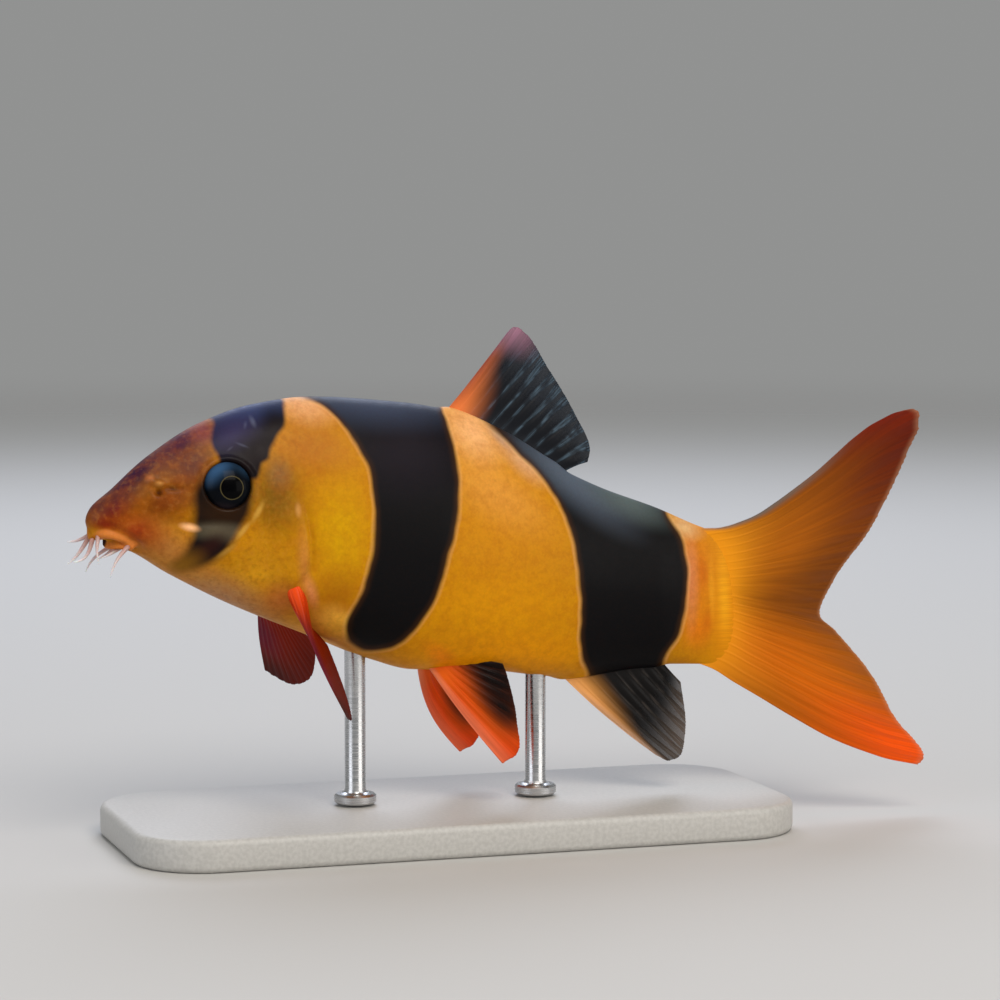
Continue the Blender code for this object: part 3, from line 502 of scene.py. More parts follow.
# Painted skin: thin glazes over a golden ground, as on a cast museum model. The glazes are sprayed,
# so their edges are soft, and only the bands are drawn with a firm edge and a pale line beside it.
GOLD = "#C68400"
SKIN_GLAZES = (
    (51, -2, 13, 13, 0, "#D08800", 0.8), (50, 4, 13, 6, -36, "#E09A3A", 0.9),
    # Cream ovals along the top of the back between the markings, at 48.5, 27 and 76.6 mm along, are partly a
    # painted highlight of light from above.
    (48.5, 10.4, 7, 5, -36, "#F6B878", 1), (55, 6.6, 6, 2.6, -44, "#DCAA7C", 0.9),
    (52.4, 9.2, 3.2, 1.1, -43, "#B8967C", 0.9), (50, -12, 17, 7, 0, "#DC9400", 0.8),
    (50, -18.5, 22, 6, 0, "#F09A02", 0.9), (43.8, -17.4, 4.5, 1.8, -38, "#F0860C", 0.8),
    (26.5, 8.5, 8, 7, 0, "#B46E08", 0.9), (27, 13.8, 6.5, 3.2, -8, "#E6A870", 1),
    # Behind the gill cover, the brown-orange oval at 29.8 mm along is a painted shadow by the lower front
    # edge of band 2, and the three light yellow ovals under it are painted light on that shaded skin.
    (30, -1.5, 6, 10, 0, "#D09C00", 0.95), (29.8, -8.8, 4.6, 5, -20, "#A05C02", 0.6),
    (29.4, -12.8, 4.4, 3.4, -30, "#FFBC4C", 1), (28.5, -14.4, 7, 3, -32, "#E49838", 0.9),
    (30.2, -13, 3.4, 2.6, -30, "#FFC040", 1), (78, -9, 4, 13, 0, "#DC7A10", 0.8),
    (78.2, -15.5, 3, 3.4, 0, "#E07808", 0.8), (77.2, -9, 1.6, 9, 0, "#D88860", 0.6),
    (84, -11, 7, 16, 0, "#E08A04", 1), (84, -11, 5, 16, 0, "#E08A04", 1),
    (76.6, -2.4, 3.8, 2.2, -18, "#DCB078", 1), (78.9, -8.2, 1.1, 3.2, 6, "#C45C04", 0.6),
    (79.6, -14.6, 1.3, 3, -8, "#CC6604", 0.6), (80.2, -10.6, 0.7, 5.5, 2, "#EEA41C", 0.7),
    (81.9, -11.2, 1.5, 8.5, 2, "#F4B018", 0.7), (21.8, 3, 6, 7.5, 10, "#70500C", 0.9),
    (22.6, 5.8, 2.4, 2.8, 0, "#84603C", 0.7), (20.5, -4.2, 8, 5, -12, "#C0840A", 0.9),
    (19.8, -6.4, 4.4, 2.8, -22, "#E0A018", 0.7), (17, -10, 11, 4.4, -32, "#B4845C", 0.95),
    (23, -9.4, 4, 3.4, -30, "#B8622C", 0.8), (25.2, -4.5, 1.2, 6, 4, "#CC8440", 0.6),
    (26.4, -8.6, 1.1, 3.4, 18, "#DC8C54", 0.8), (12, 6, 7, 5, 25, "#8C4C08", 0.95),
    (8.5, 2.6, 9, 5, 20, "#723404", 1), (9, -3, 8, 4.4, -25, "#B87834", 1),
    (5.4, -0.7, 5.2, 3.4, -22, "#98340C", 0.95), (2.8, 1.9, 5.5, 2.8, 42, "#72180A", 0.95),
    (1.8, 0.2, 2.6, 1.5, -10, "#801E04", 0.9), (0.8, 2.6, 4.4, 2, 58, "#50202C", 0.95),
    (6, 6.4, 10, 3.2, 42, "#2C0E30", 1), (11.4, 9.8, 9, 3.4, 34, "#44203C", 1),
    (12.4, 7.4, 5, 3, 34, "#502628", 0.8), (14.3, 10.9, 3, 2.2, 20, "#7C4048", 0.95),
    # At the nostrils, from 7.2 mm along: the pale flaps are partly a painted highlight, the dark oval in the
    # pit is painted shade, and the dark streak behind it is painted shade in the groove.
    (4.4, 5.3, 4, 1.8, 46, "#3A1232", 0.9), (7.2, 5.5, 0.8, 0.6, 30, "#C07848", 0.8),
    (8.2, 4.9, 0.8, 0.45, 10, "#C48844", 0.8), (8, 3.8, 0.75, 0.6, 10, "#241006", 1),
    (9.8, 4.3, 2, 0.45, 0, "#4E2806", 0.8),
)
# The ink of the markings. The blue-grey ovals along the back, over the top of the nape patch and of both
# bands, are painted sheen: light from above reflected on the dark skin.
DARK_GLAZES_AND_SHEEN = (
    (39, 8, 12, 8, 0, "#16101A", 0.9), (36, 14.4, 19, 5, -4, "#3C4458", 1),
    (61, 4.8, 15, 4.6, -40, "#545E6C", 1), (69, 1.2, 9, 3.4, -26, "#586464", 0.9),
    (19.5, 14, 10, 3.6, 12, "#36426C", 0.95), (17.5, 10.6, 6, 3.2, 20, "#342E52", 0.9),
    (23, 11.4, 2.6, 3.4, 10, "#0E060A", 0.9), (20.4, 8.2, 7, 4, 30, "#100408", 1),
    (15.6, 1.6, 6, 4.5, 0, "#2A1604", 1), (15.2, -0.95, 5.6, 1.75, -4, "#5A5240", 1),
    (13.8, -2.8, 4.2, 1.9, 38, "#280E0A", 1), (10.6, -5.4, 4.4, 3, 30, "#8A5C10", 1),
)
# Pale glazes over the markings. The pale streak at 11.5 mm along, ahead of the patch under the eye, is a
# painted highlight on the ridge there, and the faint blue-grey wisps on the nape patch are painted glints.
BRIGHT_GLAZES_AND_HIGHLIGHTS = (
    (11.5, -0.3, 1.7, 0.7, -14, "#FFC088", 1), (19.7, 1.4, 2, 0.55, 58, "#C8983C", 0.9),
    (17.9, -0.8, 1.9, 0.5, 50, "#C8983C", 0.9), (15.9, -3.2, 2.2, 0.5, 38, "#B88834", 0.7),
    (24.6, 1.5, 0.6, 1.3, 0, "#D89C54", 0.6), (20.2, 12, 0.5, 1, 10, "#8088A0", 0.26),
    (18.4, 9.3, 1.1, 0.24, -22, "#747690", 0.24), (16.9, 8.9, 0.7, 0.2, 34, "#6C6A84", 0.2),
    (19.2, 11.6, 0.7, 0.3, 64, "#747A98", 0.2),
)
INK, PALE_LINE, BAND_RIM = "#050507", "#F0C080", "#3A2006"
# Each marking: its name, how soft its edge is, and how strong the pale line beside it is.
MARKINGS = (
    ("nape_patch", 0.4, 0.0), ("under_eye", 0.8, 0.0), ("band_2", 0.35, 0.36), ("band_3", 0.35, 0.46),
)
LINE_START, LINE_END = -0.6, -0.2
RIM_INWARD, RIM_STRENGTH = 1.1, 0.8
EDGE_WANDER, SCALE_WIDTH = 0.6, 0.34

paint, shader, add = new_material("airbrushed satin skin")
place = add("Attribute", (), "Vector", attribute_name="side_view")
along = add("SeparateXYZ", (place,))
# Clouds of pigment about 1 mm across, specks of 0.7 mm and a grain of 0.2 mm.
cloud, specks, grain = (
    add("TexNoise", {"Vector": place, "Scale": scale, "Detail": detail, "Roughness": rough})
    for scale, detail, rough in ((0.9, 4.0, 0.6), (1.5, 2.5, 0.5), (4.5, 3.0, 0.6))
)
painted = airbrush(add, colour(GOLD), place, SKIN_GLAZES)
# The pigment cells gather in these patterns more densely on the head, and not at all on the fin.
before_fin = add("MapRange", (along, 83.0, 78.0), **SMOOTH)
on_head = add("MapRange", (along, 30.0, 20.0, 0.22, 1.0), **SMOOTH)
on_head = add("Math", (on_head, before_fin), operation="MULTIPLY")
for pattern, low, high, most, where, share, hex_code in (
    (cloud, 0.35, 0.7, 0.5, before_fin, 0.55, "#A85404"),
    (specks, 0.48, 0.7, 0.4, on_head, 0.5, "#5C2A04"),
    (specks, 0.5, 0.3, 0.16, on_head, 0.5, "#E0A048"),
):
    shown = add("MapRange", (pattern, low, high, 0.0, most), **SMOOTH)
    shown = add("Math", (shown, where), operation="MULTIPLY")
    pigment = add("MixRGB", (share, painted, colour(hex_code)))
    painted = add("MixRGB", (shown, painted, pigment))
# Streaks 4 mm long and 0.2 mm wide, where the tail's flesh runs out between the rays.
drawn = add("Mapping", {"Vector": place, "Scale": (0.25, 5, 0)}, vector_type="POINT")
streaks = add("TexNoise", {"Vector": drawn, "Scale": 1.0, "Detail": 3.0})
shown = add("MapRange", (along, 77.0, 84.0, 0.0, 0.35), **SMOOTH)
shown = add("MapRange", (streaks, 0.35, 0.65, 0.0, shown), **SMOOTH)
painted = add("MixRGB", (shown, painted, colour("#B46004")))
# The markings are inked with their painted sheen along the back, and their edges wander on a pattern of 3 mm.
dark = airbrush(add, colour(INK), place, DARK_GLAZES_AND_SHEEN)
wander = add("TexNoise", {"Vector": place, "Scale": 0.3, "Detail": 1.0})
wander = add("Math", (wander, 0.5), operation="SUBTRACT")
wander = add("Math", (wander, EDGE_WANDER), operation="MULTIPLY")
for name, soft, line in MARKINGS:
    inside = add("Attribute", (), "Fac", attribute_name=name)
    inside = add("Math", (inside, wander), operation="ADD")
    ink = dark
    if line:
        beside = add("MapRange", (inside, LINE_START, LINE_END, 0.0, line), **SMOOTH)
        beside = add("Math", (beside, cloud), operation="MULTIPLY")
        painted = add("MixRGB", (beside, painted, colour(PALE_LINE)))
        rim = add("MapRange", (inside, RIM_INWARD, 0.0, 0.0, RIM_STRENGTH), **SMOOTH)
        ink = add("MixRGB", (rim, dark, colour(BAND_RIM)))
    inked = add("MapRange", (inside, -soft, soft), **SMOOTH)
    painted = add("MixRGB", (inked, painted, ink))
# Over the markings go the painted highlight on the snout and the painted glints on the nape.
painted = airbrush(add, painted, place, BRIGHT_GLAZES_AND_HIGHLIGHTS)
# Flesh colour on the lips, painted shade in the mouth, and a dark ring round each eye.
for name, hex_code in (("on_lip", "#CC7832"), ("shade_in_mouth", "#2A0C08"), ("round_eye", "#120C0A")):
    where = add("Attribute", (), "Fac", attribute_name=name)
    painted = add("MixRGB", (where, painted, colour(hex_code)))
# Scales: faint cells with darker edges, which break up the shine without dimming it.
scales = add("TexVoronoi", {"Vector": place, "Scale": 1 / SCALE_WIDTH}, feature="F1")
scale_edges = add("MapRange", (scales, 0.3, 0.8, 0.0, 0.06), **SMOOTH)
scale_edges = add("Math", (scale_edges, before_fin), operation="MULTIPLY")
painted = add("MixRGB", (scale_edges, painted, colour("#2A1204")))
height = add("Math", (grain, 0.8), operation="MULTIPLY")
height = add("Math", (scales, height), operation="ADD")
height = add("Math", (height, before_fin), operation="MULTIPLY")
# The skin is satin under a very thin wet coat, and light sinks about a millimetre into it.
fill(shader, {
    "Base Color": painted,
    "Roughness": add("MapRange", (cloud, 0.3, 0.7, 0.4, 0.5), **SMOOTH),
    "Normal": add("Bump", {"Height": height, "Strength": 0.1, "Distance": 0.05 * MM}),
    "Subsurface Weight": 0.12,
    "Subsurface Radius": (1.0, 0.4, 0.2),
    "Subsurface Scale": 1.2 * MM,
    "Specular IOR Level": 0.07,
    "Coat Weight": 0.05,
    "Coat Roughness": 0.22,
})
new_piece("skin", skin_mesh, "skin", paint, "head", "trunk", "tail")

# Eyes: flat domes of glass, painted and set in the sockets. They are nearly black, with a fine gold ring
# about the pupil and a slate-blue crescent across the top of the iris, painted as the reflection of light
# from above.
PUPIL_SHIFT = (0.4, -0.4)
PUPIL_RADIUS, GOLD_RING, RING_WIDTH = 1.28, 1.38, 0.1
# The two blue ovals across the top are the painted reflection; the others are the iris's own dark colours.
IRIS_GLAZES_AND_REFLECTION = (
    (-1.6, 2.2, 3.4, 2.2, 38, "#35567A", 1), (1.5, 2.2, 2.2, 1.3, -36, "#22384E", 0.8),
    (-0.6, -2.5, 2.8, 1.2, -8, "#2C2226", 0.9), (0.1, -0.05, 3.5, 3.5, 0, "#070A10", 1),
    (0.1, -0.05, 2.9, 2.9, 0, "#070A10", 0.9),
)

eye_glass, shader, add = new_material("painted glass eye")
place = add("Attribute", (), "Vector", attribute_name="iris")
reach = add("VectorMath", (place,), "Value", operation="LENGTH")
iris = airbrush(add, colour("#06080C"), place, IRIS_GLAZES_AND_REFLECTION)
for edge, strength, hex_code in ((GOLD_RING, 0.9, "#544C30"), (PUPIL_RADIUS, 1.0, "#020203")):
    within = add("MapRange", (reach, edge + RING_WIDTH, edge, 0.0, strength), **SMOOTH)
    iris = add("MixRGB", (within, iris, colour(hex_code)))
# The coat is the polished glass, kept faint so that the eye stays as dark as it was seen.
fill(shader, {
    "Base Color": iris,
    "Roughness": 0.3,
    "Specular IOR Level": 0.02,
    "Coat Weight": 0.05,
    "Coat Roughness": 0.05,
})
for word, (middle, axis) in eyes.items():
    eyeball, _, _ = ball_grid(40, 72)
    turn = Vector(axis).to_track_quat("Z", "Y").to_matrix().to_4x4()
    size = Matrix.Diagonal((EYE_RADIUS * MM, EYE_RADIUS * MM, EYE_HALF_DEPTH * MM, 1.0))
    eyeball.transform(Matrix.Translation(middle) @ turn @ size)
    offset = (points_of(eyeball) - middle) / MM
    mirror = 1 if word == "left" else -1
    rearward = unit(np.cross((0, 0, 1), axis) * mirror)
    upward = np.cross(axis, rearward) * mirror
    x, y = offset @ rearward - PUPIL_SHIFT[0], offset @ upward - PUPIL_SHIFT[1]
    keep_values(eyeball, "iris", np.stack((x, y, 0 * x), axis=-1))
    new_piece(f"glass_eye_{word}", eyeball, "eye", eye_glass, f"eye_{word}")

# Barbels: four pairs of soft feelers that taper from the lips to a hair, pale and half clear. Each has
# its root, its tip and the bow of its middle.
BARBELS = (
    ("barbel_snout_inner_left", (0.6, -0.8, -1.5), (-1.9, -1.0, -4.3), (0.35, -0.05, -0.75)),
    ("barbel_snout_inner_right", (0.7, 0.8, -1.5), (-2.0, 1.2, -4.7), (-0.05, 0.15, -0.6)),
    ("barbel_snout_outer_left", (1.2, -1.2, -1.2), (0.9, -2.1, -4.6), (-0.35, -0.45, 0.1)),
    ("barbel_snout_outer_right", (1.2, 1.3, -1.2), (-1.4, 2.8, -2.2), (-0.1, 0.1, -0.3)),
    ("barbel_mouth_corner_left", (4.7, -2.1, -2.5), (2.0, -3.0, -6.2), (-0.5, -0.4, 0.2)),
    ("barbel_mouth_corner_right", (4.7, 2.1, -2.5), (0.9, 3.0, -6.0), (-0.6, 0.4, 0.1)),
    ("barbel_chin_left", (4.3, -0.9, -2.6), (1.6, -1.2, -3.9), (-0.1, -0.1, -0.15)),
    ("barbel_chin_right", (4.3, 0.9, -2.6), (1.9, 1.3, -4.3), (-0.1, 0.1, -0.3)),
)
BARBEL_ROOT_RADIUS, BARBEL_TIP_RADIUS = 0.34, 0.06

# Light sinks deep into the barbels, which makes them look like wet flesh and not like wire.
barbel_flesh, shader, add = new_material("soft pale barbel")
share = add("Attribute", (), "Fac", attribute_name="share")
fill(shader, {
    "Base Color": add("MixRGB", (share, colour("#B08074"), colour("#E4E2E4"))),
    "Roughness": 0.4,
    "Subsurface Weight": 0.3,
    "Subsurface Radius": (1.0, 0.4, 0.25),
    "Subsurface Scale": 0.6 * MM,
})


def ray_between(root, tip, bow, share):
    """Points of a ray: straight from root to tip, plus one bow."""
    share = share[:, None]
    return root + (tip - root) * share + bow * np.sin(math.pi * share)


for name, root, tip, bow in BARBELS:
    feeler, share, angle = ball_grid(48, 16)
    root, tip, bow = np.array(root), np.array(tip), np.array(bow)
    lead = tip - root + math.pi * bow * np.cos(math.pi * share)[:, None]
    across = unit(np.cross(lead, (0, 1, 0.3)))
    other = unit(np.cross(lead, across))
    radius = BARBEL_ROOT_RADIUS + (BARBEL_TIP_RADIUS - BARBEL_ROOT_RADIUS) * share**0.8
    radius *= np.sqrt(np.clip(1 - np.abs(2 * share - 1) ** 24, 0, 1))
    ring = across * np.cos(angle)[:, None] + other * np.sin(angle)[:, None]
    move_points(feeler, posed(ray_between(root, tip, bow, share) + ring * radius[:, None]))
    face_out(feeler)
    keep_values(feeler, "share", share)
    new_piece(f"soft_{name}", feeler, "barbel", barbel_flesh, name)

# Fins: soft rays in a clear web. Each ray is a fine rib that forks at a third of its length and again
# near the tip, and the web between is as thin as paper and lies in shallow pleats.
WEB_THICK, RIB_THICK, TIP_SHARE = 0.14, 0.26, 0.3
COLUMNS_A_RAY = 16
# Widths across the rays, in spacings from ray to ray.
RIB_WIDTH_ROOT, RIB_WIDTH_TIP, RAY_WANDER, FORK_SPREAD, TWIG_SPREAD = 0.13, 0.06, 0.12, 0.19, 0.09
FORK_START, TWIG_START, EDGE_NOTCH = 0.35, 0.65, 0.006


def fin(name, slot, web, nodes, rays, rows, place_of, pleat, flesh):
    """A fin of so many rays; place_of(u, share, fold) gives its middle surface in the straight fish.

    The flesh at its root has a thickness, the share of the rays where it is thickest, and a reach.
    """
    root_thick, thickest, reach = flesh
    bm = bmesh.new()
    bmesh.ops.create_grid(bm, x_segments=(rays - 1) * COLUMNS_A_RAY, y_segments=rows, size=1.0)
    sheet = mesh_from(bm, name)
    x, y, _ = points_of(sheet).T
    u, share = (x + 1) / 2, (y + 1) / 2
    nearest = np.round(u * (rays - 1))
    offset = u * (rays - 1) - nearest + RAY_WANDER * share * np.sin(5 * share + 2.4 * nearest)
    forked = 1 - smooth_step(u, 1.5 / rays, 0.5 / rays)
    fork = FORK_SPREAD * forked * np.clip((share - FORK_START) / (1 - FORK_START), 0, 1)
    twig = TWIG_SPREAD * forked * np.clip((share - TWIG_START) / (1 - TWIG_START), 0, 1)
    distance = np.abs(np.abs(np.abs(offset) - fork) - twig)
    rib = bump_at(distance, 0, RIB_WIDTH_ROOT + (RIB_WIDTH_TIP - RIB_WIDTH_ROOT) * share)
    notch = 1 - EDGE_NOTCH * (1 - rib) * smooth_step(share, 0.8, 1.0)
    fold = pleat * np.cos(2 * math.pi * offset) * smooth_step(share, 0.1, 0.45) * smooth_step(share, 1.3, 0.6)
    move_points(sheet, posed(place_of(u, share * notch, fold)))
    keep_values(sheet, "ray", np.stack((u, share, rib), axis=-1))
    piece = new_piece(name, sheet, slot, web, *nodes)
    group = piece.vertex_groups.new(name="thickness")
    thick = (WEB_THICK + (RIB_THICK - WEB_THICK) * rib) * (1 - (1 - TIP_SHARE) * share**1.3)
    rounded = np.sqrt(1 - np.abs(2 * u - 1) ** 3)
    thick += (root_thick - thick) * bump_at(np.maximum(share, thickest), thickest, reach) * rounded
    for index, weight in enumerate(thick / root_thick):
        group.add([index], weight, "REPLACE")
    shell = piece.modifiers.new("web", "SOLIDIFY")
    shell.thickness = root_thick * MM
    shell.offset = 0.0
    shell.vertex_group = group.name


def fin_material(name, ground, washes, rib_hex, rib_strength, clear, glow):
    """A fin's finish: washes of colour in its web, its ribs lighter or darker, and light through it.

    Washes and patterns lie in the fin itself: u runs from its first ray to its last, share along them.
    """
    made, shader, add = new_material(name)
    ray = add("Attribute", (), "Vector", attribute_name="ray")
    u, share, rib = (add("SeparateXYZ", (ray,), axis) for axis in range(3))
    flat, drawn, dashed = (
        add("Mapping", {"Vector": ray, "Scale": scale}, vector_type="POINT")
        for scale in ((1, 1, 0), (130, 3, 0), (16, 6, 0))
    )
    streaks = add("TexNoise", {"Vector": drawn, "Scale": 1.0, "Detail": 3.0})
    dashes = add("TexNoise", {"Vector": dashed, "Scale": 1.0, "Detail": 2.0})
    web = airbrush(add, colour(ground), flat, washes)
    streaky = add("MapRange", (share, 0.05, 0.4, 0.0, 0.24), **SMOOTH)
    streaky = add("MapRange", (streaks, 0.35, 0.7, 0.0, streaky), **SMOOTH)
    dusky = add("MixRGB", (0.5, web, colour("#120A08")))
    web = add("MixRGB", (streaky, web, dusky))
    ribs = add("MapRange", (share, 0.02, 0.3, 0.0, rib), **SMOOTH)
    uneven = ribs
    for pattern, low, high, least, most in (
        (streaks, 0.3, 0.62, 0.0, rib_strength), (dashes, 0.38, 0.6, 0.15, 1.0), (u, 0.12, 0.32, 0.1, 1.0),
    ):
        part = add("MapRange", (pattern, low, high, least, most), **SMOOTH)
        uneven = add("Math", (uneven, part), operation="MULTIPLY")
    painted = add("MixRGB", (uneven, web, colour(rib_hex)))
    shade = add("MapRange", (ribs, 0.0, 1.0, 0.97, 1.05), **SMOOTH)
    painted = add("VectorMath", {0: painted, "Scale": shade}, operation="SCALE")
    # The joints of the rays: fourteen waves to a ray, in relief.
    waves = {"Vector": flat, "Scale": 14.0, "Distortion": 1.5}
    joints = add("TexWave", waves, "Fac", bands_direction="Y")
    height = add("Math", (joints, 0.15), operation="MULTIPLY")
    height = add("Math", (rib, height), operation="ADD")
    opaque = add("MapRange", (rib, 1.0, 0.0, 1.0, 1 - clear), **SMOOTH)
    # The web is moist and a little shiny, and clears between the ribs towards its edge.
    fill(shader, {
        "Base Color": painted,
        "Roughness": 0.45,
        "Normal": add("Bump", {"Height": height, "Strength": 0.15, "Distance": 0.06 * MM}),
        "Alpha": add("MapRange", (share, 0.4, 1.0, 1.0, opaque), **SMOOTH),
        "Specular IOR Level": 0.14,
        "Coat Weight": 0.08,
        "Coat Roughness": 0.22,
    })
    through = add("BsdfTranslucent", (painted,))
    light_through = add("MapRange", (share, 0.05, 0.4, 0.0, glow), **SMOOTH)
    blend = add("MixShader", (light_through, shader.outputs["BSDF"], through))
    fill(made.node_tree.nodes["Material Output"], {"Surface": blend})
    return made


def spread(values):
    return np.stack(np.broadcast_arrays(*values), axis=-1)


def unpaired(start, end, edge, sink, lean, tip_along, tip_height, first_bow, last_bow):
    """The middle surface of a fin whose rays run from the back or the belly to a line of tips."""
    tip_along, tip_height = smooth_through(tip_along), smooth_through(tip_height)
    first_bow, last_bow = np.array(first_bow), np.array(last_bow)

    def place(u, share, fold):
        along = start + (end - start) * u
        root = spread((along, fold, edge(along) - sink))
        tip = spread((tip_along(u), lean + fold, tip_height(u)))
        return ray_between(root, tip, first_bow + (last_bow - first_bow) * u[:, None], share)

    return place


# Dorsal fin: raised, its front edge steep and its rays shorter towards the tail. It is black with grey
# ribs, its first rays orange and its tip purple.
dorsal_place = unpaired(
    start=45.0, end=60.0, edge=back, sink=1.3, lean=0.9,
    tip_along=((0, 53.8), (0.05, 54.9), (0.12, 56.1), (0.4, 59.2), (0.75, 62.9), (0.94, 64.7), (1, 64.4)),
    tip_height=((0, 21.9), (0.05, 22.9), (0.12, 22.3), (0.4, 17.8), (0.75, 11.6), (0.94, 7.3), (1, 5.8)),
    first_bow=(0, -0.5, 0), last_bow=(0.3, -0.5, 0.4),
)
dark_web = fin_material(
    "smoky dorsal web", "#0C1018",
    (
        (0.45, 0.9, 0.9, 0.5, 0, "#141F2C", 0.8), (0.02, 0, 0.33, 0.7, 0, "#FF8C44", 1),
        (0, 0.3, 0.17, 0.8, 0, "#E07438", 1), (0, 0.6, 0.1, 0.6, 0, "#A8543C", 1),
        (0.04, 1, 0.3, 0.36, 0, "#A4748A", 1),
    ),
    rib_hex="#6C889C", rib_strength=0.44, clear=0.3, glow=0.15,
)
fin(
    "webbed_dorsal_fin", "dark_fin", dark_web, ("dorsal_fin",),
    rays=12, rows=64, place_of=dorsal_place, pleat=0.08, flesh=(0.9, 0, 0.14),
)

# Anal fin: under the root of the tail, swept back to a rounded tip. It is smoky and half clear behind,
# its first rays orange near the body.
anal_place = unpaired(
    start=59.6, end=73.2, edge=belly, sink=-1.2, lean=-0.8,
    tip_along=((0, 73.0), (0.12, 74.6), (0.35, 76.3), (0.7, 76.9), (1, 76.2)),
    tip_height=((0, -31.4), (0.12, -32.2), (0.35, -31.5), (0.7, -27.4), (1, -22.2)),
    first_bow=(0, 0.4, -0.5), last_bow=(0, 0.4, 0),
)
smoky_web = fin_material(
    "smoky anal web", "#0E0C0C",
    (
        (0, 0, 0.44, 0.8, 0, "#FFAE50", 1), (0, 0.2, 0.26, 0.9, 0, "#FFB468", 1),
        (0, 0.7, 0.15, 0.7, 0, "#E0B088", 1), (0.6, 1.1, 0.9, 0.5, 0, "#6A5C52", 1),
    ),
    rib_hex="#7C726A", rib_strength=0.22, clear=0.45, glow=0.2,
)
fin(
    "webbed_anal_fin", "dark_fin", smoky_web, ("anal_fin",),
    rays=9, rows=56, place_of=anal_place, pleat=0.08, flesh=(0.9, 0, 0.14),
)

# Tail fin: deeply forked, amber at its root, brown-orange above and hot orange at its lower tip. It is
# one web, whose outer rays begin ahead of the others along the edges of the tail.
CAUDAL_ROOT_ALONG, CAUDAL_ROOT_TOP, CAUDAL_ROOT_BOTTOM, EDGE_ROOT_FORWARD = 81.0, -2.7, -19.3, 4.2
CAUDAL_TIP_ALONG = smooth_through((
    (0, 104.8), (0.03, 106.4), (0.06, 107.2), (0.09, 107.2), (0.13, 106.2), (0.2, 104.1), (0.3, 100.9),
    (0.42, 96.7), (0.5, 94.6), (0.58, 96.9), (0.7, 101.6), (0.84, 105.2), (0.9, 107.2), (0.94, 108.5),
    (0.97, 108.8), (1, 107.9),
))
CAUDAL_TIP_HEIGHT = smooth_through((
    (0, 11.9), (0.03, 12.2), (0.06, 11.3), (0.09, 10), (0.13, 7.6), (0.2, 2.8), (0.3, -3.4), (0.42, -9.2),
    (0.5, -13.8), (0.58, -16.4), (0.7, -22), (0.84, -28.2), (0.9, -30.4), (0.94, -32.1), (0.97, -33.1),
    (1, -33.9),
))
TAIL_CUPPING = -3.0
# How far each edge ray bends off its straight line, at shares of its length.
UPPER_EDGE = smooth_through((
    (0, 0), (0.09, -1.4), (0.17, -2.5), (0.24, -3), (0.33, -3.3), (0.42, -3), (0.51, -2.5), (0.6, -1.9),
    (0.69, -1), (0.78, -0.1), (0.87, 0.35), (0.95, 0.3), (1, 0),
))
LOWER_EDGE = smooth_through((
    (0, 0), (0.12, 0.35), (0.21, -0.1), (0.31, -0.5), (0.47, -1.2), (0.63, -1.65), (0.83, -1.2), (1, 0),
))


def caudal_place(u, share, fold):
    height = CAUDAL_ROOT_TOP + (CAUDAL_ROOT_BOTTOM - CAUDAL_ROOT_TOP) * u
    lobe = 2 * u - 1
    upper, lower = np.maximum(-lobe, 0) ** 2, np.maximum(lobe, 0) ** 2
    root = spread((CAUDAL_ROOT_ALONG - EDGE_ROOT_FORWARD * lobe**4, fold, height))
    tip = spread((CAUDAL_TIP_ALONG(u), lobe + fold, CAUDAL_TIP_HEIGHT(u)))
    cupped = TAIL_CUPPING * share**2 * (1 - share)
    bend = spread((0, cupped, UPPER_EDGE(share) * upper + LOWER_EDGE(share) * lower))
    return root + (tip - root) * share[:, None] + bend


amber_web = fin_material(
    "amber tail web", "#A85C04",
    (
        (0.5, 0, 1.1, 0.6, 0, "#F09A04", 1), (0.22, 0.5, 0.3, 0.5, 0, "#D0760A", 0.8),
        (0.44, 0.95, 0.25, 0.6, 0, "#844408", 0.8), (0.1, 1, 0.36, 0.75, 0, "#742002", 1),
        (0, 0.95, 0.12, 0.45, 0, "#8E2002", 0.9), (0.8, 0.5, 0.34, 0.8, 0, "#E87C02", 1),
        (0.95, 0.95, 0.24, 0.65, 0, "#FF6402", 1), (0.5, 0, 1.6, 0.24, 0, "#EE9606", 1),
        (0, 0.36, 0.055, 0.5, 0, "#86786C", 1), (0.5, 1.03, 1.5, 0.07, 0, "#E8B084", 0.8),
    ),
    rib_hex="#D08020", rib_strength=0.05, clear=0.15, glow=0.35,
)
fin(
    "webbed_tail_fin", "amber_fin", amber_web, ("tail_fin_upper", "tail_fin_lower"),
    rays=19, rows=90, place_of=caudal_place, pleat=0.05, flesh=(0.5, 0, 0.16),
)

# Paired fins: a fan that opens from its leading ray towards its chord. Orange-red at the root; the
# pectorals darken to maroon, partly painted shade, with a painted lilac highlight by the leading ray,
# and the pelvics have a dark patch behind.
PECTORAL_FAN = {
    "root": (24.6, 6.6, -8.1), "width": 2.6, "opening": 50.0, "chord": (0.48, -0.79, -0.38),
    "lengths": ((0, 17.4), (0.2, 17.2), (0.5, 15.0), (0.8, 11.2), (1, 8.6)), "camber": 0.7, "sink": 2.2,
}
PELVIC_FAN = {
    "root": (44.1, 3.3, -18.9), "width": 4.2, "opening": 38.0, "chord": (0.80, 0.05, 0.55),
    "lengths": ((0, 14.2), (0.15, 14.5), (0.4, 11.6), (0.7, 8.3), (1, 5.7)), "camber": 0.4, "sink": 1.6,
}
ROOT_INWARD = (0, -1.8, 0.8)


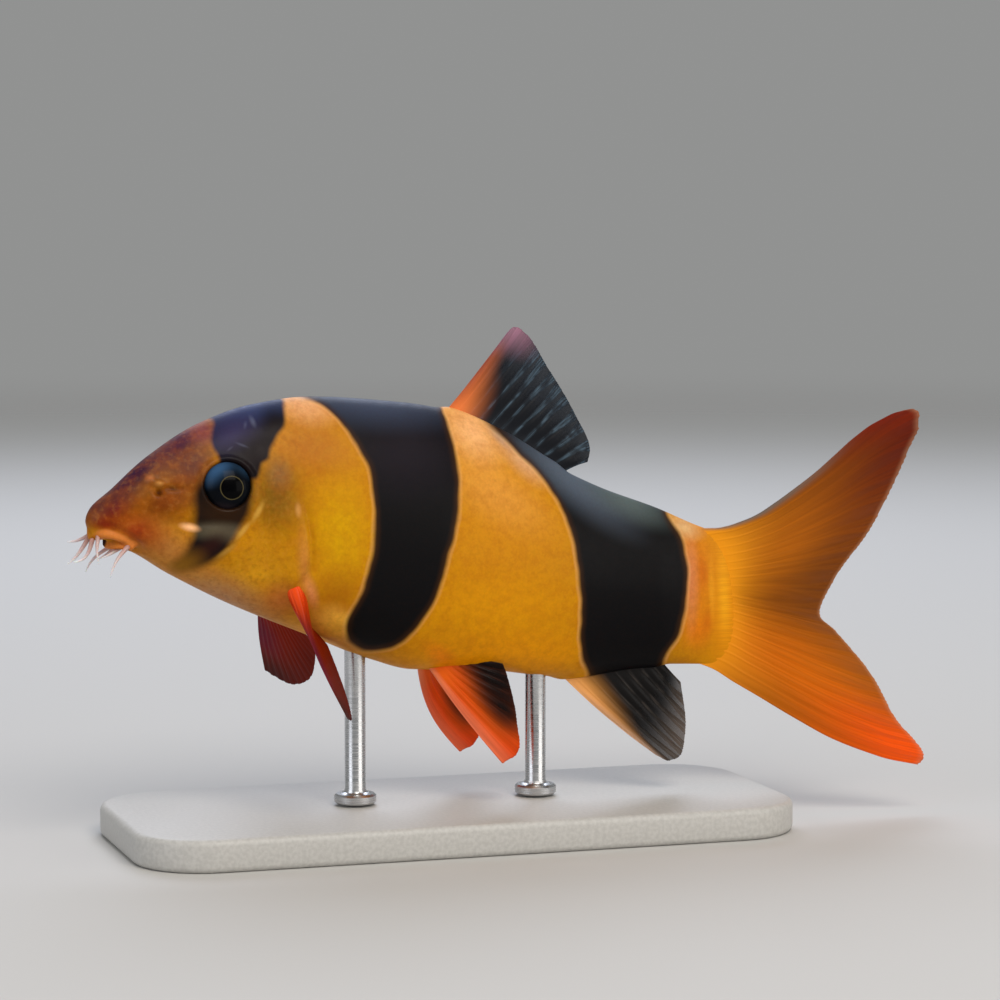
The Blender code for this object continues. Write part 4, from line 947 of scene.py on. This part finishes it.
def fan_place(side, leading, curl, root, width, opening, chord, lengths, camber, sink):
    """The middle surface of a paired fin; camber bows its rays out of its plane, and curl within it."""
    leading, chord = Vector(leading).normalized(), Vector(chord)
    chord = (chord - leading * chord.dot(leading)).normalized()
    face = leading.cross(chord)
    leading, chord, face, root = (np.array(v) for v in (leading, chord, face, root))
    length = smooth_through(lengths)

    def place(u, share, fold):
        angle = np.radians(opening) * u[:, None]
        out = leading * np.cos(angle) + chord * np.sin(angle)
        start = root + chord * (width * (u[:, None] - 0.3)) - out * sink + face * fold[:, None]
        end = start + out * (length(u) + sink)[:, None]
        points = ray_between(start, end, face * camber - chord * curl, share)
        points = points + np.array(ROOT_INWARD) * (1 - share[:, None]) ** 5
        return points * (1, side, 1)

    return place


crimson_web = fin_material(
    "crimson pectoral web", "#A42C08",
    (
        (0.3, 0, 1.6, 0.56, 0, "#FF5408", 1), (0.3, 0.05, 1.4, 0.36, 0, "#F04C08", 1),
        # The purple oval by the leading ray is a painted lilac highlight, and the maroon towards the tip is
        # partly painted shade.
        (0, 0.6, 0.5, 0.36, 0, "#8C2C48", 0.9), (0.1, 0.98, 0.5, 0.3, 0, "#50140E", 0.9),
        (0.6, 0.95, 0.8, 0.4, 0, "#7A200A", 0.7),
    ),
    rib_hex="#C04018", rib_strength=0.04, clear=0.1, glow=0.55,
)
orange_web = fin_material(
    "orange pelvic web", "#F8690A",
    (
        (0.7, 0.78, 0.56, 0.7, 0, "#1C0A06", 1), (0.74, 0.85, 0.56, 0.56, 0, "#140604", 1),
        (1, 0.7, 0.56, 0.9, 0, "#140604", 1), (1, 0.9, 0.4, 0.6, 0, "#140604", 1),
        (0.44, 0.84, 0.32, 0.5, -10, "#1C0A06", 1), (0.14, 1.02, 0.26, 0.3, 0, "#F0540C", 0.9),
        (0, 0.5, 0.19, 1.3, 0, "#FF9468", 1),
    ),
    rib_hex="#FF7838", rib_strength=0.05, clear=0.1, glow=0.45,
)
PECTORAL = {"rays": 14, "rows": 64, "pleat": 0.03, "flesh": (2.1, 0.16, 0.22)}
PELVIC = {"rays": 9, "rows": 56, "pleat": 0.07, "flesh": (1.2, 0.12, 0.16)}
for name, side, leading, curl, fan, web, make in (
    ("pectoral_fin_left", -1, (0.22, 0.47, -0.85), 0.0, PECTORAL_FAN, crimson_web, PECTORAL),
    ("pectoral_fin_right", 1, (0.20, 0.60, -0.77), 0.0, PECTORAL_FAN, crimson_web, PECTORAL),
    ("pelvic_fin_left", -1, (0.59, 0.17, -0.79), 0.2, PELVIC_FAN, orange_web, PELVIC),
    ("pelvic_fin_right", 1, (0.47, 0.30, -0.83), 1.3, PELVIC_FAN, orange_web, PELVIC),
):
    fan_of = fan_place(side, leading, curl, **fan)
    fin(f"webbed_{name}", "red_fin", web, (name,), place_of=fan_of, **make)

# The base: a thick plate cut from steel, with round corners and softened edges. It is heavy enough for
# the fish to stand on two rods, and is coated in fine grey powder.
BASE_CORNER, BASE_EDGE = 9.0, 0.8
base_low, base_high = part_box("stand_base")
bm = bmesh.new()
size = base_high - base_low
place = Matrix.Translation((base_low + base_high) / 2) @ Matrix.Diagonal((*size, 1.0))
bmesh.ops.create_cube(bm, size=1.0, matrix=place)
upright = [e for e in bm.edges if abs(e.verts[0].co.z - e.verts[1].co.z) > size.z / 2]
bmesh.ops.bevel(
    bm, geom=upright, offset=BASE_CORNER * MM, affect="EDGES", segments=16, profile=0.5, material=-1
)
around = [e for e in bm.edges if abs(e.verts[0].co.z - e.verts[1].co.z) < 1e-7 and len(e.link_faces) == 2]
bmesh.ops.bevel(
    bm, geom=around, offset=BASE_EDGE * MM, affect="EDGES", segments=4, profile=0.5, material=-1
)
plate = mesh_from(bm, "plate")

# The powder gives the plate a matt, slightly pebbled face, with grains half a millimetre across.
powder, shader, add = new_material("powder-coated steel")
position = add("TexCoord", (), "Object")
pebbles = add("TexNoise", {"Vector": position, "Scale": 1 / (0.5 * MM), "Detail": 2.0})
shade = add("MapRange", (pebbles, 0.3, 0.7), **SMOOTH)
fill(shader, {
    "Base Color": add("MixRGB", (shade, colour("#B4B3AF"), colour("#C0BFBB"))),
    "Roughness": add("MapRange", (pebbles, 0.3, 0.7, 0.42, 0.55), **SMOOTH),
    "Normal": add("Bump", {"Height": pebbles, "Strength": 0.25, "Distance": 0.05 * MM}),
})
new_piece("base_plate", plate, "base", powder, "stand_base")
plate.set_sharp_from_angle(angle=math.radians(35))

# The rods: turned and polished steel, with a stepped foot on the plate. Their plain ends go a little
# way into the belly.
ROD_RADIUS, ROD_FOOT_RADIUS, ROD_FOOT_HEIGHT, ROD_COLLAR = 1.3, 2.6, 1.2, 0.6
FOOT_BEVEL_LOW, FOOT_BEVEL_TOP, COLLAR_STEP, INTO_BELLY = 0.2, 0.25, 0.18, 0.3
# The lathe leaves fine rings round the rods, a tenth of a millimetre apart.
steel, shader, add = new_material("turned stainless steel")
position = add("TexCoord", (), "Object")
lathe = add("Mapping", {"Vector": position, "Scale": (120, 120, 9000)}, vector_type="POINT")
marks = add("TexNoise", {"Vector": lathe, "Scale": 1.0, "Detail": 2.0})
fill(shader, {
    "Base Color": add("MixRGB", (marks, colour("#B9BABC"), colour("#D2D3D4"))),
    "Metallic": 1.0,
    "Roughness": add("MapRange", (marks, 0.3, 0.7, 0.2, 0.34), **SMOOTH),
    "Normal": add("Bump", {"Height": marks, "Strength": 0.08, "Distance": 0.02 * MM}),
})
for name in ("stand_rod_front", "stand_rod_rear"):
    low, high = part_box(name)
    middle = (low + high) / 2
    bottom, top = low.z / MM, high.z / MM + INTO_BELLY
    step = bottom + ROD_FOOT_HEIGHT
    profile = (
        (0, bottom),
        (ROD_FOOT_RADIUS - FOOT_BEVEL_LOW, bottom),
        (ROD_FOOT_RADIUS, bottom + FOOT_BEVEL_LOW),
        (ROD_FOOT_RADIUS, step - FOOT_BEVEL_TOP),
        (ROD_FOOT_RADIUS - FOOT_BEVEL_TOP, step),
        (ROD_RADIUS + ROD_COLLAR, step),
        (ROD_RADIUS + COLLAR_STEP, step + COLLAR_STEP),
        (ROD_RADIUS, step + ROD_COLLAR),
        (ROD_RADIUS, top),
        (0, top),
    )
    bm = bmesh.new()
    verts = [bm.verts.new((middle.x + radius * MM, middle.y, z * MM)) for radius, z in profile]
    edges = [bm.edges.new(pair) for pair in zip(verts, verts[1:])]
    bmesh.ops.spin(
        bm, geom=verts + edges, cent=middle, axis=(0, 0, 1), angle=2 * math.pi, steps=48, use_merge=True
    )
    bmesh.ops.remove_doubles(bm, verts=bm.verts, dist=0.01 * MM)
    bmesh.ops.recalc_face_normals(bm, faces=bm.faces)
    rod = mesh_from(bm, name)
    new_piece("turned_" + name.removeprefix("stand_"), rod, "rod", steel, name)
    rod.set_sharp_from_angle(angle=math.radians(30))

# The room: a pale floor that fades into the air round it, a large soft lamp above the left flank, one
# ahead of the head, a low one beside the tail, and a cool one along the back. Its sizes are in metres.
FLOOR_REACH_M, FADE_START_M = 1.2, 0.35
bm = bmesh.new()
bmesh.ops.create_circle(bm, cap_ends=True, segments=96, radius=FLOOR_REACH_M)
floor = bpy.data.objects.new("floor", mesh_from(bm, "floor"))
bpy.context.scene.collection.objects.link(floor)
# Matt paper, which takes soft shadows and shows no shine.
paper, shader, add = new_material("pale paper floor")
position = add("TexCoord", (), "Object")
distance = add("VectorMath", (position,), "Value", operation="LENGTH")
fill(shader, {
    "Base Color": colour("#C4C3C0"),
    "Roughness": 0.85,
    "Alpha": add("MapRange", (distance, FLOOR_REACH_M, FADE_START_M), **SMOOTH),
})
floor.data.materials.append(paper)

world = bpy.data.worlds.new("studio air")
world.use_nodes = True
air = world.node_tree.nodes["Background"]
air.inputs["Color"].default_value = colour("#E6E7E6")
air.inputs["Strength"].default_value = 0.36
bpy.context.scene.world = world

LAMPS = (
    ("key", (0.05, -0.55, 0.62), 0.45, 4.2, "#FFF7EE"),
    ("side", (-0.75, -0.3, 0.3), 0.5, 1.4, "#F6F8FF"),
    ("low", (0.55, -0.6, 0.1), 0.6, 2.2, "#FFFAF4"),
    ("back", (0.1, 0.45, 0.5), 0.45, 2.6, "#E4ECFF"),
)
for name, position, size, watts, hex_code in LAMPS:
    lamp_data = bpy.data.lights.new(name, "AREA")
    lamp_data.size = size
    lamp_data.energy = watts
    lamp_data.color = colour(hex_code)[:3]
    lamp = bpy.data.objects.new(name, lamp_data)
    bpy.context.scene.collection.objects.link(lamp)
    lamp.location = position
    lamp.rotation_euler = (Vector(position) - CAMERA_AIM_M).to_track_quat("Z", "Y").to_euler()
bpy.context.scene.view_settings.view_transform = "Standard"
